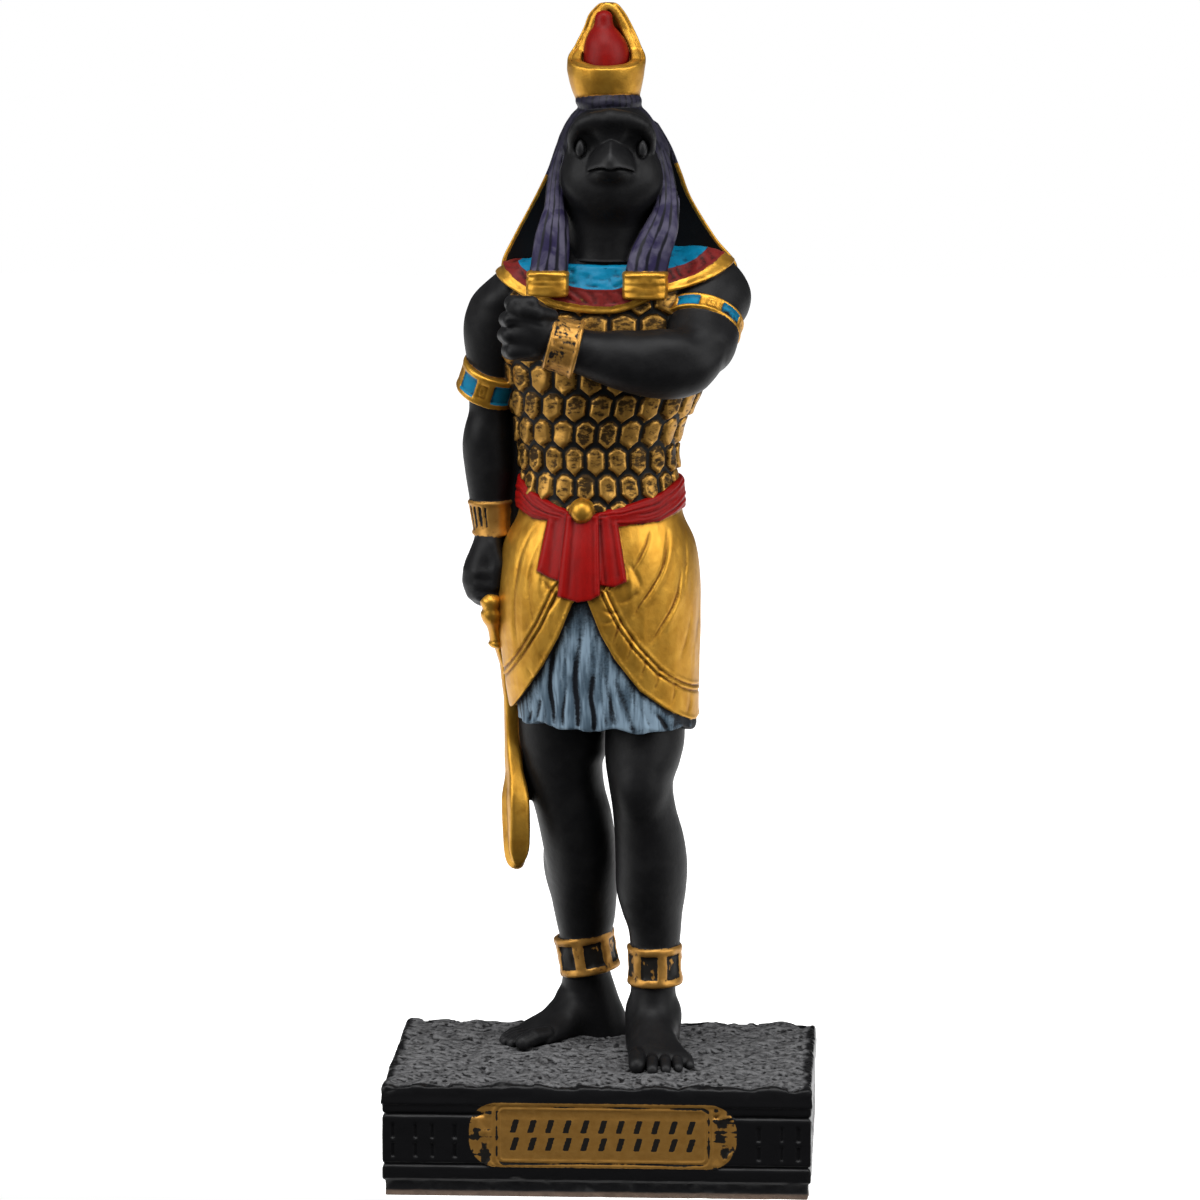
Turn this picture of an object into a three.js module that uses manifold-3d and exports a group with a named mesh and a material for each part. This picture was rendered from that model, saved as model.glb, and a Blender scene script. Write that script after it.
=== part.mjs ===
// Falcon-headed god of ancient Egypt: a painted, cold-cast resin figurine, cast in one piece with its plinth.
// Millimetres, +Z up, the figure faces -Y. The origin is the middle of the plinth's underside.
import * as THREE from 'three';
import { mergeVertices } from 'three/addons/utils/BufferGeometryUtils.js';
import Module from 'manifold-3d';

const wasm = await Module();
wasm.setup();

// Driving dimensions
const FIGURE_HEIGHT = 81.6; // from the soles to the top of the crown
const PLINTH_WIDTH = 33;
const PLINTH_DEPTH = 23;
const PLINTH_HEIGHT = 8.7;
const SLAB_THICKNESS = 1.5; // rough slab on top of the plinth
const SLAB_OVERHANG = 0.08;
const GROUND_RELIEF = 0.2; // rise and fall of the slab's rough top
const PLINTH_FOOT_HEIGHT = 1.3;
const PLINTH_FOOT_INSET = 0.3;
const FRIEZE_MARGIN = 0.85; // plain border above and below the sunk frieze
const FRIEZE_SINK = 0.15;
const PLAQUE_WIDTH = 20.5;
const PLAQUE_HEIGHT = 5.2;
const PLAQUE_LIFT = 0.65; // the middle of the plaque above the middle of the frieze
const PLAQUE_PROUD = 0.23;
const PLAQUE_BORDER = 0.42; // width of the raised border
const PLAQUE_END = 1.7; // length of the rough rocky end outside the plaque's border

// Figure: every number below is a thousandth of the figure's height, measured from the
// middle of the plinth's top: x to the figure's left, y to its back, z up.
const share = FIGURE_HEIGHT / 1000;
const SASH_PROUD = 3.5;
const SASH_DIP = 19; // the sash hangs lower in front
const MIDDLE_TAIL_PROUD = 6;
const SIDE_TAIL_PROUD = 3.5;
const COLLAR_PROUD = 4;
const COLLAR_CENTRE = [0, 778];
const COLLAR_RADII = [124, 64];
const SCALES_AROUND = 20;
const SCALE_ROWS = 6;
const SCALE_FIRST_ROW = 553;
const SCALE_PITCH = 26;
const SCALE_POINT = 10; // how far a plate's tip hangs below the notches beside it
const SCALE_EDGE = 2;
const SCALE_PROUD = 4;
const SCALE_TOP = 738; // the collar hides the armour above this
const SKIRT_PLEATS = 16;
const SKIRT_PLEAT_DEPTH = 2.4;
const KILT_FOLDS = 9;
const KILT_FOLD_DEPTH = 1.3;
const KILT_TILT = 10; // the hem hangs lower on the figure's left
const CAPE_HOLLOW = 12; // how far the cloth behind the shoulders is hollowed in front
const CAPE_PLEATS = 9;
const CAPE_PLEAT_DEPTH = 2.2;
const BLADE_PLACE = [-89.5, 36];
const BLADE_TURN = 0.34; // radians about the upright, edge towards the back
const BLADE_THICKNESS = 14;
const BLADE_BEVEL = 2.5;
const BLADE_LEAN_FROM = 290; // above this the sword leans out to the hand
const BLADE_LEAN = 0.0088;
const BLADE_LEAN_POWER = 1.6;

const JOIN_TOLERANCE = 0.01; // millimetres: finer slivers along a join are left out

// Facets round each form
const BODY_SIDES = 16;
const CLOTH_SIDES = 28;
const LIMB_SIDES = 10;
const RING_SIDES = 12;
const FINGER_SIDES = 5;

const UP = new THREE.Vector3(0, 0, 1);
const DOWN = new THREE.Vector3(0, 0, -1);
const LEFT = new THREE.Vector3(1, 0, 0); // the figure's own left
const BACK = new THREE.Vector3(0, 1, 0);
const AHEAD = new THREE.Vector3(0, -1, 0);
const UPPER_ARM_AXIS = new THREE.Vector3(0.08, -0.78, -0.62); // raised arm, from shoulder to elbow

// A closed geometry as a solid
function solid(geometry) {
  geometry.deleteAttribute('normal');
  geometry.deleteAttribute('uv');
  const merged = mergeVertices(geometry, 1e-4);
  const corners = merged.index.array;
  const kept = [];
  for (let i = 0; i < corners.length; i += 3) {
    const [a, b, c] = corners.slice(i, i + 3);
    if (a !== b && b !== c && c !== a) kept.push(a, b, c);
  }
  return new wasm.Manifold(new wasm.Mesh({
    numProp: 3,
    tolerance: JOIN_TOLERANCE,
    vertProperties: new Float32Array(merged.attributes.position.array),
    triVerts: new Uint32Array(kept),
  }));
}

// A geometry in shares of the figure as a solid that stands on the plinth
function figureSolid(geometry) {
  geometry.scale(share, share, share);
  geometry.translate(0, 0, PLINTH_HEIGHT);
  return solid(geometry);
}

function join(...solids) {
  return solids.reduce((whole, piece) => whole.add(piece));
}

// Smooth row at the place t between the given rows
function rowAt(rows, t) {
  const i = Math.min(Math.floor(t), rows.length - 2);
  const f = t - i;
  const a = rows[Math.max(i - 1, 0)];
  const b = rows[i];
  const c = rows[i + 1];
  const d = rows[Math.min(i + 2, rows.length - 1)];
  return b.map((start, k) => {
    const slope = c[k] - a[k];
    const bend = 2 * a[k] - 5 * start + 4 * c[k] - d[k];
    const twist = 3 * start - a[k] - 3 * c[k] + d[k];
    return start + 0.5 * (slope * f + bend * f * f + twist * f ** 3);
  });
}

// A closed skin over rows [x, y, z, half width, half depth], given in order along the limb
function loft(rows, { sides = 16, steps = 1, power = 2, along = UP, wide = LEFT, shape } = {}) {
  const tube = new THREE.CylinderGeometry(1, 1, 1, sides, steps * (rows.length - 1));
  const axis = along.clone().normalize();
  const across = wide.clone().addScaledVector(axis, -wide.dot(axis)).normalize();
  const ahead = new THREE.Vector3().crossVectors(across, axis);
  const position = tube.attributes.position;
  const point = new THREE.Vector3();
  const flatten = (value) => Math.sign(value) * Math.abs(value) ** (2 / power);
  for (let i = 0; i < position.count; i++) {
    const u = position.getX(i);
    const v = position.getZ(i);
    const height = Math.min(Math.max(position.getY(i) + 0.5, 0), 1);
    const [x, y, z, a, b] = rowAt(rows, height * (rows.length - 1));
    point.set(x, y, z);
    point.addScaledVector(across, a * flatten(u));
    point.addScaledVector(ahead, b * flatten(v));
    if (shape) shape(point, { angle: Math.atan2(u, v), ahead: v, height, middle: u === 0 && v === 0 });
    position.setXYZ(i, point.x, point.y, point.z);
  }
  return figureSolid(tube);
}

function grow(rows, amount) {
  return rows.map(([x, y, z, a, b]) => [x, y, z, a + amount, b + amount]);
}

function ball([x, y, z], [rx, ry, rz], sides = 8) {
  const sphere = new THREE.SphereGeometry(1, sides, Math.round(sides * 0.6));
  sphere.rotateX(Math.PI / 2);
  sphere.scale(rx, ry, rz);
  sphere.translate(x, y, z);
  return figureSolid(sphere);
}

// A rounded finger from one point to another
function finger(from, to, radius) {
  const start = new THREE.Vector3(...from);
  const end = new THREE.Vector3(...to);
  const axis = end.clone().sub(start);
  const sphere = new THREE.SphereGeometry(radius, FINGER_SIDES, 4);
  const position = sphere.attributes.position;
  for (let i = 0; i < position.count; i++) {
    const y = position.getY(i);
    const towards = Math.abs(y) > 0.01 * radius ? Math.sign(y) : 0;
    position.setY(i, y + (towards * axis.length()) / 2);
  }
  sphere.applyQuaternion(new THREE.Quaternion().setFromUnitVectors(BACK, axis.clone().normalize()));
  const middle = start.add(end).multiplyScalar(0.5);
  sphere.translate(middle.x, middle.y, middle.z);
  return figureSolid(sphere);
}

function outline(points) {
  return new THREE.Shape(points.map(([across, up]) => new THREE.Vector2(across, up)));
}

// The points of a front view, pushed through the figure from y = front to y = back
function frontPrism(points, front, back) {
  const prism = new THREE.ExtrudeGeometry(outline(points), { depth: back - front, bevelEnabled: false });
  prism.rotateX(Math.PI / 2);
  prism.translate(0, back, 0);
  return figureSolid(prism);
}

// The points (y, z) of a side view, thickened along x
function sideExtrusion(points, thickness, bevel = 0) {
  const prism = new THREE.ExtrudeGeometry(outline(points), {
    depth: thickness - 2 * bevel,
    bevelEnabled: bevel > 0,
    bevelThickness: bevel,
    bevelSize: bevel,
    bevelOffset: -bevel,
    bevelSegments: 1,
  });
  prism.translate(0, 0, bevel - thickness / 2);
  prism.applyMatrix4(new THREE.Matrix4().makeBasis(BACK, UP, LEFT));
  return prism;
}

// Body rows, from the bottom up
const TORSO = [
  [-4, 24.5, 500, 76, 60],
  [-4.5, 24.5, 535, 75.5, 58],
  [-5.5, 24.5, 565, 73, 56],
  [-5.8, 24.5, 594, 76.5, 57],
  [-2, 24.5, 620, 84.5, 59],
  [2.5, 24.5, 647, 93.5, 61.5],
  [6, 24.5, 680, 105, 63.5],
  [7, 24.5, 710, 109, 62],
  [7, 24, 735, 101, 58],
  [7, 23, 755, 77, 50],
  [6, 21, 775, 47, 40],
  [5, 17, 792, 37, 35],
  [5, 13, 812, 37, 35],
];
const CHEST = TORSO.slice(-5); // from the shoulders to the neck
const KILT = [
  [1.5, 24.5, 322, 88.5, 69],
  [-0.8, 24.5, 347, 89.8, 70.5],
  [-2.2, 24.5, 370, 91.4, 72],
  [-4.9, 24.5, 415, 94.3, 73.5],
  [-5.1, 24.5, 455, 94.8, 72],
  [-4.2, 24.5, 490, 89.4, 67],
  [-4, 24.5, 516, 79, 61],
  [-4, 24.5, 534, 76, 58],
];
const SKIRT = [
  [-2, 24, 318, 77, 62],
  [-2.5, 24, 345, 79.5, 64.5],
  [-3.5, 24.5, 410, 84, 66.5],
  [-4, 24.5, 470, 80, 60],
];
const HANGING_ARM = [
  [-78, 28, 753, 15, 24],
  [-93, 30, 728, 28.5, 36],
  [-99, 32, 711, 30.5, 37],
  [-103, 33, 694, 29.5, 35],
  [-106, 35, 668, 25.5, 30],
  [-108, 36, 640, 22, 27],
  [-109, 37, 612, 20.5, 25],
  [-111, 37, 582, 24.4, 26],
  [-110, 36, 558, 23.5, 25],
  [-109.3, 35, 528, 19.5, 21],
  [-107.5, 33, 495, 16.5, 19.5],
];
const RAISED_UPPER_ARM = [
  [80, 44, 752, 18, 22],
  [92, 30, 743, 32, 32],
  [100, 14, 728, 36, 35],
  [103, -2, 715, 36.5, 35],
  [102.5, -18, 702, 34, 32.5],
  [100, -34, 688, 30, 30],
  [95, -50, 676, 27, 27.5],
  [88, -62, 668, 18, 19],
];
const FOREARM = [
  [116, -47, 675, 6, 7],
  [109, -50, 671, 14, 16],
  [97, -54, 667, 23, 23],
  [78, -58, 667, 29.5, 27],
  [58, -61, 669, 31.5, 28.5],
  [36, -63, 671.5, 30, 28],
  [14, -65, 675, 27, 26],
  [-10, -66, 679.5, 22, 21.5],
  [-46, -68, 692, 20, 20],
];

// The torso's skin is scale armour: rows of pointed plates, each row hanging over the one below.
// Every ring of the skin has one corner at each plate's tip and one at each gap between plates.
function makeTorso() {
  const rings = [];
  const addRing = (z, row, tipDrop, proud, groove) => {
    const [x, y, , a, b] = torsoRowAt(z);
    rings.push({ x, y, z, a, b, row, tipDrop, proud, groove });
  };
  addRing(TORSO[0][2], 0, 0, 0, 0);
  for (let row = 0; row < SCALE_ROWS; row++) {
    const lowerEdge = SCALE_FIRST_ROW + (row - 0.5) * SCALE_PITCH;
    addRing(lowerEdge, row, SCALE_POINT, 0, 0);
    addRing(lowerEdge + SCALE_EDGE, row, SCALE_POINT, SCALE_PROUD, SCALE_PROUD);
  }
  addRing(SCALE_TOP, 0, 0, 0, 0);
  const sides = 2 * SCALES_AROUND;
  const skin = new THREE.CylinderGeometry(1, 1, 1, sides, rings.length - 1);
  const position = skin.attributes.position;
  for (let i = 0; i < position.count; i++) {
    const ring = rings[Math.round((position.getY(i) + 0.5) * (rings.length - 1))];
    const radius = Math.round(Math.hypot(position.getX(i), position.getZ(i)));
    const angle = Math.atan2(position.getX(i), position.getZ(i));
    const corner = Math.round((angle / (2 * Math.PI)) * sides + sides);
    const atTip = (corner + ring.row) % 2 === 0;
    const proud = ring.proud - (atTip ? 0 : ring.groove);
    position.setXYZ(
      i,
      ring.x + radius * (ring.a + proud) * Math.sin(angle),
      ring.y - radius * (ring.b + proud) * Math.cos(angle),
      ring.z + radius * ring.tipDrop * (atTip ? -0.5 : 0.5),
    );
  }
  return join(figureSolid(skin), loft(CHEST, { sides: BODY_SIDES }));
}

function torsoRowAt(z) {
  const above = Math.max(TORSO.findIndex((row) => row[2] >= z), 1);
  const [low, high] = [TORSO[above - 1], TORSO[above]];
  return rowAt(TORSO, above - 1 + (z - low[2]) / (high[2] - low[2]));
}

function kiltFolds(point, { angle, height }) {
  const depth = KILT_FOLD_DEPTH * (1 - height) * Math.cos(KILT_FOLDS * angle + 2 * height);
  point.x += depth * Math.sin(angle);
  point.y -= depth * Math.cos(angle);
  point.z -= KILT_TILT * (1 - height) * Math.sin(angle);
}

function makeKilt() {
  // Front edges of the wrap, from the waist down to the sides
  const leftEdge = [[-20, 450], [-27.5, 441], [-40.5, 409], [-56, 380], [-77, 348], [-88, 331]];
  const rightEdge = [[92, 312], [62, 338], [37, 360], [15, 384.5], [0, 413], [-10, 439]];
  const below = 290;
  const opening = frontPrism([...leftEdge, [-110, below], [110, below], ...rightEdge], -100, 24.5);
  const kilt = loft(KILT, { sides: CLOTH_SIDES, shape: kiltFolds }).subtract(opening);
  return join(kilt, makeSkirt(), makeSash(), makeTails());
}

function makeSkirt() {
  return loft(SKIRT, {
    sides: SKIRT_PLEATS * 3,
    shape: (point, { angle, height }) => {
      const fold = Math.cos(SKIRT_PLEATS * angle) + 0.4 * Math.cos(7 * angle + 1);
      const depth = SKIRT_PLEAT_DEPTH * fold * (1 - 0.5 * height);
      point.x += depth * Math.sin(angle);
      point.y -= depth * Math.cos(angle);
    },
  });
}

function makeSash() {
  const waist = [
    [-4.2, 24.5, 513, 75, 57],
    [-4, 24.5, 518, 76, 58.5],
    [-4, 24.5, 535, 76.8, 59.5],
    [-4.2, 24.5, 550, 75.8, 58.5],
    [-4.4, 24.5, 556, 72, 55],
  ];
  const belt = loft(grow(waist, SASH_PROUD), {
    sides: CLOTH_SIDES,
    shape: (point, { ahead }) => {
      point.z -= SASH_DIP * Math.max(0, ahead) ** 1.5;
    },
  });
  return join(belt, ball([-18.3, -38, 528], [11, 9, 11]));
}

// Three ends of the sash hang from its knot over the kilt
function makeTails() {
  const end = (proud, points) =>
    loft(grow(KILT, proud), { sides: CLOTH_SIDES }).intersect(frontPrism(points, -100, 10));
  return join(
    end(MIDDLE_TAIL_PROUD, [[-33, 525], [-40, 448], [-20, 452], [-2, 446], [-3, 525]]),
    end(SIDE_TAIL_PROUD, [[-48, 525], [-60, 470], [-40, 463], [-28, 525]]),
    end(SIDE_TAIL_PROUD, [[-8, 525], [0, 459], [24, 463], [13, 525]]),
  );
}

// A band of metal round a limb, with a raised rim along both edges
function ring(centre, axis, [a, b], length, rim) {
  const direction = new THREE.Vector3(...axis).normalize();
  const profile = [[-0.5, rim], [-0.25, rim / 2], [0.25, rim / 2], [0.5, rim]];
  const rows = profile.map(([place, proud]) => {
    const middle = new THREE.Vector3(...centre).addScaledVector(direction, place * length);
    return [middle.x, middle.y, middle.z, a + proud, b + proud];
  });
  return loft(rows, { along: direction, sides: RING_SIDES });
}

function makeHangingArm() {
  const arm = loft(HANGING_ARM, { along: DOWN, sides: LIMB_SIDES });
  const hand = loft([
    [-107.5, 33, 500, 16.5, 19.5],
    [-109.3, 32, 484, 18, 22.5],
    [-112.5, 30, 466, 20.5, 25],
    [-114.5, 28, 450, 20.5, 24.5],
    [-113.5, 27, 436, 17.5, 21.5],
    [-110, 27, 426, 11, 14],
  ], { along: DOWN, sides: LIMB_SIDES, power: 2.4 });
  const thumb = finger([-100, 14, 480], [-104, 8, 446], 8.5);
  const fingers = [462, 449, 437].map((z, i) =>
    finger([-122 + 3 * i, 8, z - 2], [-98, 8, z - 6], 7));
  const wristband = loft([
    [-109, 35, 524.5, 22, 23.5],
    [-109.2, 34.7, 516, 20.6, 22],
    [-107.6, 33.4, 500, 18.3, 20.5],
    [-107, 33, 491.5, 18.6, 21],
  ], { along: DOWN, sides: RING_SIDES });
  // A web of resin fills the narrow space between the arm and the body
  const web = frontPrism([[-95, 500], [-76, 500], [-74, 600], [-82, 690], [-96, 690], [-98, 600]], 28, 46);
  return join(
    arm, web, hand, thumb, ...fingers, wristband,
    ring([-108, 35, 648], [0.33, -0.35, 1], [28, 29.5], 31, 4),
  );
}

function makeRaisedArm() {
  const upper = loft(RAISED_UPPER_ARM, { along: UPPER_ARM_AXIS, sides: LIMB_SIDES });
  const forearm = loft(FOREARM, { along: new THREE.Vector3(-1, -0.1, 0.14), wide: UP, sides: LIMB_SIDES });
  const wrist = new THREE.Vector3(-1, -0.06, 0.39);
  const fist = loft([
    [-38, -67, 690, 19, 19],
    [-48, -68, 695, 24, 23],
    [-58, -69, 700, 29, 26],
    [-72, -69, 702, 31, 27],
    [-84, -69, 702, 28, 25],
    [-92, -69, 701, 20, 19],
  ], { along: wrist, wide: UP, power: 2.5, sides: LIMB_SIDES });
  const knuckles = [716, 703.5, 691, 679.5].map((z, i) =>
    finger([-84 - 2 * Math.sin(i + 1), -84, z], [-86 - 2 * Math.sin(i + 1), -58, z - 1], 8.2));
  const thumb = finger([-42, -84, 716], [-76, -82, 724], 8.5);
  const wristband = loft([
    [-11.5, -66, 679.5, 25.5, 25],
    [-16, -66, 681, 24.5, 24],
    [-27, -67, 685.5, 22.5, 22.5],
    [-40, -68, 690.5, 22.8, 22.8],
    [-44, -68, 692.5, 24, 24],
  ], { along: wrist, wide: UP, sides: RING_SIDES });
  return join(
    upper, forearm, fist, thumb, ...knuckles, wristband,
    ring([100.5, -16, 704], [0.05, -0.72, -0.69], [32.5, 32.5], 17, 3.5),
  );
}

// Broad collar: a skin over the chest and shoulders, cut to an oval
function makeCollar() {
  const skin = join(
    loft(grow(TORSO.slice(-6), COLLAR_PROUD), { sides: BODY_SIDES }),
    loft(grow(HANGING_ARM, COLLAR_PROUD), { along: DOWN, sides: LIMB_SIDES }),
    loft(grow(RAISED_UPPER_ARM, COLLAR_PROUD), { along: UPPER_ARM_AXIS, sides: LIMB_SIDES }),
  );
  const [x, z] = COLLAR_CENTRE;
  const oval = new THREE.EllipseCurve(x, z, ...COLLAR_RADII).getPoints(24).slice(0, -1);
  const cut = frontPrism(oval.map((point) => [point.x, point.y]), -80, 120);
  return skin.intersect(cut);
}

function makeLeg(rows) {
  return loft(rows, { along: DOWN, sides: LIMB_SIDES });
}

function makeLegs() {
  const right = makeLeg([
    [-40, 34, 360, 42, 48], [-42.2, 40, 303, 40.5, 42], [-39.8, 43, 272, 38.5, 41],
    [-31, 49, 225, 36.4, 39], [-26, 56, 193, 35.2, 37.5], [-23, 66, 161, 33.6, 37],
    [-22.2, 75, 133, 31, 33], [-21.6, 81, 112, 28, 29], [-22.2, 88, 78, 21.5, 25],
    [-18.5, 93, 40, 27, 27], [-14.5, 97, 12, 33, 30], [-14.5, 97, -6, 33, 30],
  ]);
  const left = makeLeg([
    [40, 22, 360, 42, 48], [38, 16, 306, 39.4, 42], [35.6, 11, 283, 36.8, 40],
    [33.5, 7, 262, 32.5, 37], [37.6, 9, 238, 30.9, 34], [42.7, 16, 210, 32.9, 36],
    [44.8, 21, 182, 34.3, 38], [44.5, 24, 155, 33.2, 36], [45.6, 26, 133, 28.8, 31],
    [48, 27, 110, 24.5, 27], [46.5, 27, 63, 21.5, 24], [46, 23, 25, 23, 30], [46, 22, -6, 23, 34],
  ]);
  return join(
    right, left, makeLeftFoot(), makeRightFoot(),
    ring([-20.2, 87, 81], [-0.18, 0, 1], [25.8, 27], 38, 4),
    ring([48, 27, 82.5], [-0.02, 0, 1], [22.8, 25], 38, 3.6),
  );
}

function makeLeftFoot() {
  const foot = loft([
    [44, 50, 6, 12, 10], [45, 36, 12, 20, 18], [47, -4, 16, 23.5, 22],
    [50, -24, 11, 26, 17], [54, -42, 7.5, 29.5, 12.5], [57, -58, 5, 31, 9.5], [59, -68, 3, 28, 7],
  ], { along: AHEAD, sides: LIMB_SIDES });
  const toes = [
    finger([33, -52, 5], [35, -72, 3], 8.5),
    finger([47, -58, 5], [49, -80, 2.5], 6),
    finger([59, -58, 5], [61, -77, 2.5], 5.6),
    finger([70, -52, 5], [73, -68, 2], 5.4),
    finger([80, -42, 4], [84, -54, 2], 5),
  ];
  return join(foot, ...toes);
}

// The right foot is turned out
function makeRightFoot() {
  const ahead = new THREE.Vector3(-0.755, -0.656, 0);
  const across = new THREE.Vector3(0.656, -0.755, 0);
  const foot = loft([
    [-4, 112, 6, 11, 10], [-13, 103, 13, 21, 20], [-38, 80, 17, 22.5, 24], [-52, 67, 11, 25, 17],
    [-66, 54, 7.5, 28.5, 12.5], [-76, 45, 5, 29, 9.5], [-83, 39, 3, 25, 7],
  ], { along: ahead, wide: across, sides: LIMB_SIDES });
  const toes = [
    finger([-60, 31, 5], [-77, 18, 3], 8.2),
    finger([-71, 38, 5], [-88, 23, 2.5], 6),
    finger([-78, 46, 5], [-95, 31, 2.5], 5.6),
    finger([-82, 55, 5], [-98, 41, 2], 5.4),
    finger([-84, 65, 4], [-97, 54, 2], 5),
  ];
  return join(foot, ...toes);
}

// Sickle sword, point down in the hanging hand, with a web of resin behind it to the thigh
function makeSword() {
  const blade = sideExtrusion([
    [-7, 408], [7, 408], [7, 370], [6, 330], [7, 292], [4, 268], [-1, 246], [-2, 222], [-4, 200], [-9, 174],
    [-19, 182], [-27, 202], [-30, 226], [-27, 250], [-17, 274], [-8, 300], [-7, 330], [-6, 370],
  ], BLADE_THICKNESS, BLADE_BEVEL);
  blade.rotateZ(BLADE_TURN);
  const [placeX, placeY] = BLADE_PLACE;
  const position = blade.attributes.position;
  for (let i = 0; i < position.count; i++) {
    const above = Math.max(0, position.getZ(i) - BLADE_LEAN_FROM);
    const outwards = BLADE_LEAN * above ** BLADE_LEAN_POWER;
    position.setX(i, position.getX(i) + placeX - outwards);
    position.setY(i, position.getY(i) + placeY - 0.3 * outwards);
  }
  const guard = loft([
    [-103.5, 29, 396, 6, 10], [-105, 29, 403, 8.5, 14], [-106, 29, 409, 7, 11],
    [-107, 29, 416, 8, 12], [-108, 28, 430, 7, 10],
  ], { sides: RING_SIDES });
  const web = frontPrism([
    [-92, 332], [-60, 340], [-45, 300], [-50, 242], [-66, 232], [-76, 226], [-84, 232], [-88, 250],
  ], 32, 44);
  return join(figureSolid(blade), guard, web);
}

function makeHead() {
  const skull = loft([
    [4, 14, 780, 35, 34], [5.2, 11, 804, 39.5, 38], [6.7, 9, 817, 44.5, 42], [7.6, 7, 829, 47.6, 46],
    [6.9, 5, 845, 45.8, 46.5], [6.9, 4, 862, 42.5, 45], [6.9, 3, 876, 40.5, 45.5],
    [6.5, 4, 889, 35, 44], [5.5, 6, 900, 28, 38], [5.5, 8, 908, 20, 28],
  ], { sides: BODY_SIDES });
  const beak = loft([
    [8.5, -25, 861, 23, 16], [8.5, -40, 862, 20.5, 14], [8.5, -50, 861, 15.5, 11],
    [8.5, -58, 858, 9, 8.5], [8.5, -63, 854, 4.5, 6], [8.5, -66, 850.5, 2, 2.5],
  ], { along: new THREE.Vector3(0, -1, -0.15), sides: LIMB_SIDES });
  const socket = (x) => ball([x, -38, 868], [8, 7, 10], 6);
  const eye = (x) => ball([x, -32.5, 868], [6, 5.5, 7.5], 6);
  const brow = (sign) => finger([8.5 + sign * 13, -40, 893], [8.5 + sign * 33, -30, 887], 6.5);
  return join(
    skull.subtract(join(socket(-21), socket(39))),
    eye(-21), eye(39), beak, brow(-1), brow(1),
  );
}

function makeHeadcloth() {
  const cap = loft([
    [6, 44, 770, 56, 34], [7, 30, 832, 54, 44], [7, 22, 862, 51, 47],
    [6.5, 16, 885, 44, 44], [4.5, 12, 900, 36, 38], [3.5, 10, 912, 28, 30], [3.5, 10, 919, 20, 22],
  ], { sides: BODY_SIDES });
  // The cloth behind the shoulders is hollow in front and hangs in soft pleats at the back
  const cape = loft([
    [9, 71, 688, 98, 30], [11, 65, 730, 109, 41], [11.5, 60, 752, 111, 46], [7.5, 56, 777, 95.5, 46],
    [6.3, 48, 814, 74.4, 47], [8, 38, 841, 62.8, 48], [8, 26, 866, 53.6, 46], [6.9, 18, 889, 42, 38],
  ], {
    sides: CLOTH_SIDES,
    shape: (point, { angle, ahead, height, middle }) => {
      const low = Math.min(1, 2.4 * (1 - height));
      if (middle) {
        point.y += 1.5 * CAPE_HOLLOW;
      } else if (ahead > 0) {
        point.y += ahead * (30 + 16 * height + CAPE_HOLLOW * low);
      } else {
        const pleat = CAPE_PLEAT_DEPTH * Math.cos(CAPE_PLEATS * angle) * low * -ahead;
        point.x += pleat * Math.sin(angle);
        point.y -= pleat * Math.cos(angle);
      }
    },
  });
  const lappets = join(
    loft([
      [-44, 6, 852, 6, 12], [-44.5, -4, 830, 8.5, 13], [-45, -12, 812, 10, 14], [-47, -20, 790, 15, 14],
      [-48.5, -26, 768, 17, 13], [-50, -30, 750, 17.5, 12], [-50, -31, 742, 17.5, 12],
    ], { along: DOWN, sides: LIMB_SIDES, power: 2.6 }),
    loft([
      [57, 4, 852, 6, 12], [59.5, -5, 830, 9, 13], [59, -14, 812, 12, 14], [53.5, -21, 791, 17, 14],
      [45, -27, 768, 19.5, 13], [41, -31, 750, 19.5, 12], [40.5, -31, 742, 19.5, 12],
    ], { along: DOWN, sides: LIMB_SIDES, power: 2.6 }),
    loft([[-51.5, -33, 729, 19, 14], [-51, -32.5, 731, 20.5, 15.5], [-50.5, -31, 751, 19.5, 14.5],
      [-50.5, -31, 754, 18, 13]], { sides: 8, power: 4 }),
    loft([[40.5, -35, 727, 19.5, 14], [40.5, -34, 729, 21, 15.5], [40.5, -32, 751, 21, 14.5],
      [40.5, -32, 754, 19.5, 13]], { sides: 8, power: 4 }),
  );
  return join(cap, cape, lappets);
}

// Low-fronted, high-backed crown with the bulb of the tall crown inside it
function makeCrown() {
  const shell = loft([
    [3, 9, 904, 28, 29], [2, 9, 920, 32.6, 32.5], [1.8, 9, 936, 36, 35],
    [2.4, 10, 950, 36.4, 35.5], [3.2, 13, 961, 31.2, 31.5],
    [3.4, 17, 977, 24, 26.5], [2.4, 21, 989, 18, 20.5], [2.8, 27, 998, 9.5, 12], [3.2, 29, 1000, 4.5, 7],
  ], { sides: BODY_SIDES });
  const hollow = loft([
    [2, 8, 934, 27, 27.5], [2.1, 8, 944, 30, 30], [2.5, 8, 951, 29.5, 30], [3.4, 8, 961, 23.5, 28.5],
    [3.8, 8, 977, 15.5, 27], [3.4, 8, 988, 9, 25.5], [3.4, 8, 993, 4, 24],
  ], { sides: RING_SIDES });
  const front = figureSolid(sideExtrusion([
    [-60, 1020], [-60, 939], [-28, 941], [4, 948], [15, 957], [22, 975], [27, 1002], [27, 1020],
  ], 100));
  const bulb = loft([
    [1.5, 14, 925, 20, 20], [1.6, 15, 946, 20.6, 20.6], [2.3, 16, 956, 21.1, 21], [0.9, 17, 967, 17.3, 18],
    [-0.7, 18, 979, 9.3, 10], [-0.7, 18, 986, 7.7, 8], [0.2, 18, 993, 4.7, 5], [0.2, 18, 995, 2, 2],
  ], { sides: LIMB_SIDES });
  return join(shell.subtract(hollow).subtract(front), bulb);
}

function box(width, depth, bottom, top) {
  const block = new THREE.BoxGeometry(width, depth, top - bottom);
  block.translate(0, 0, (top + bottom) / 2);
  return solid(block);
}

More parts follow.
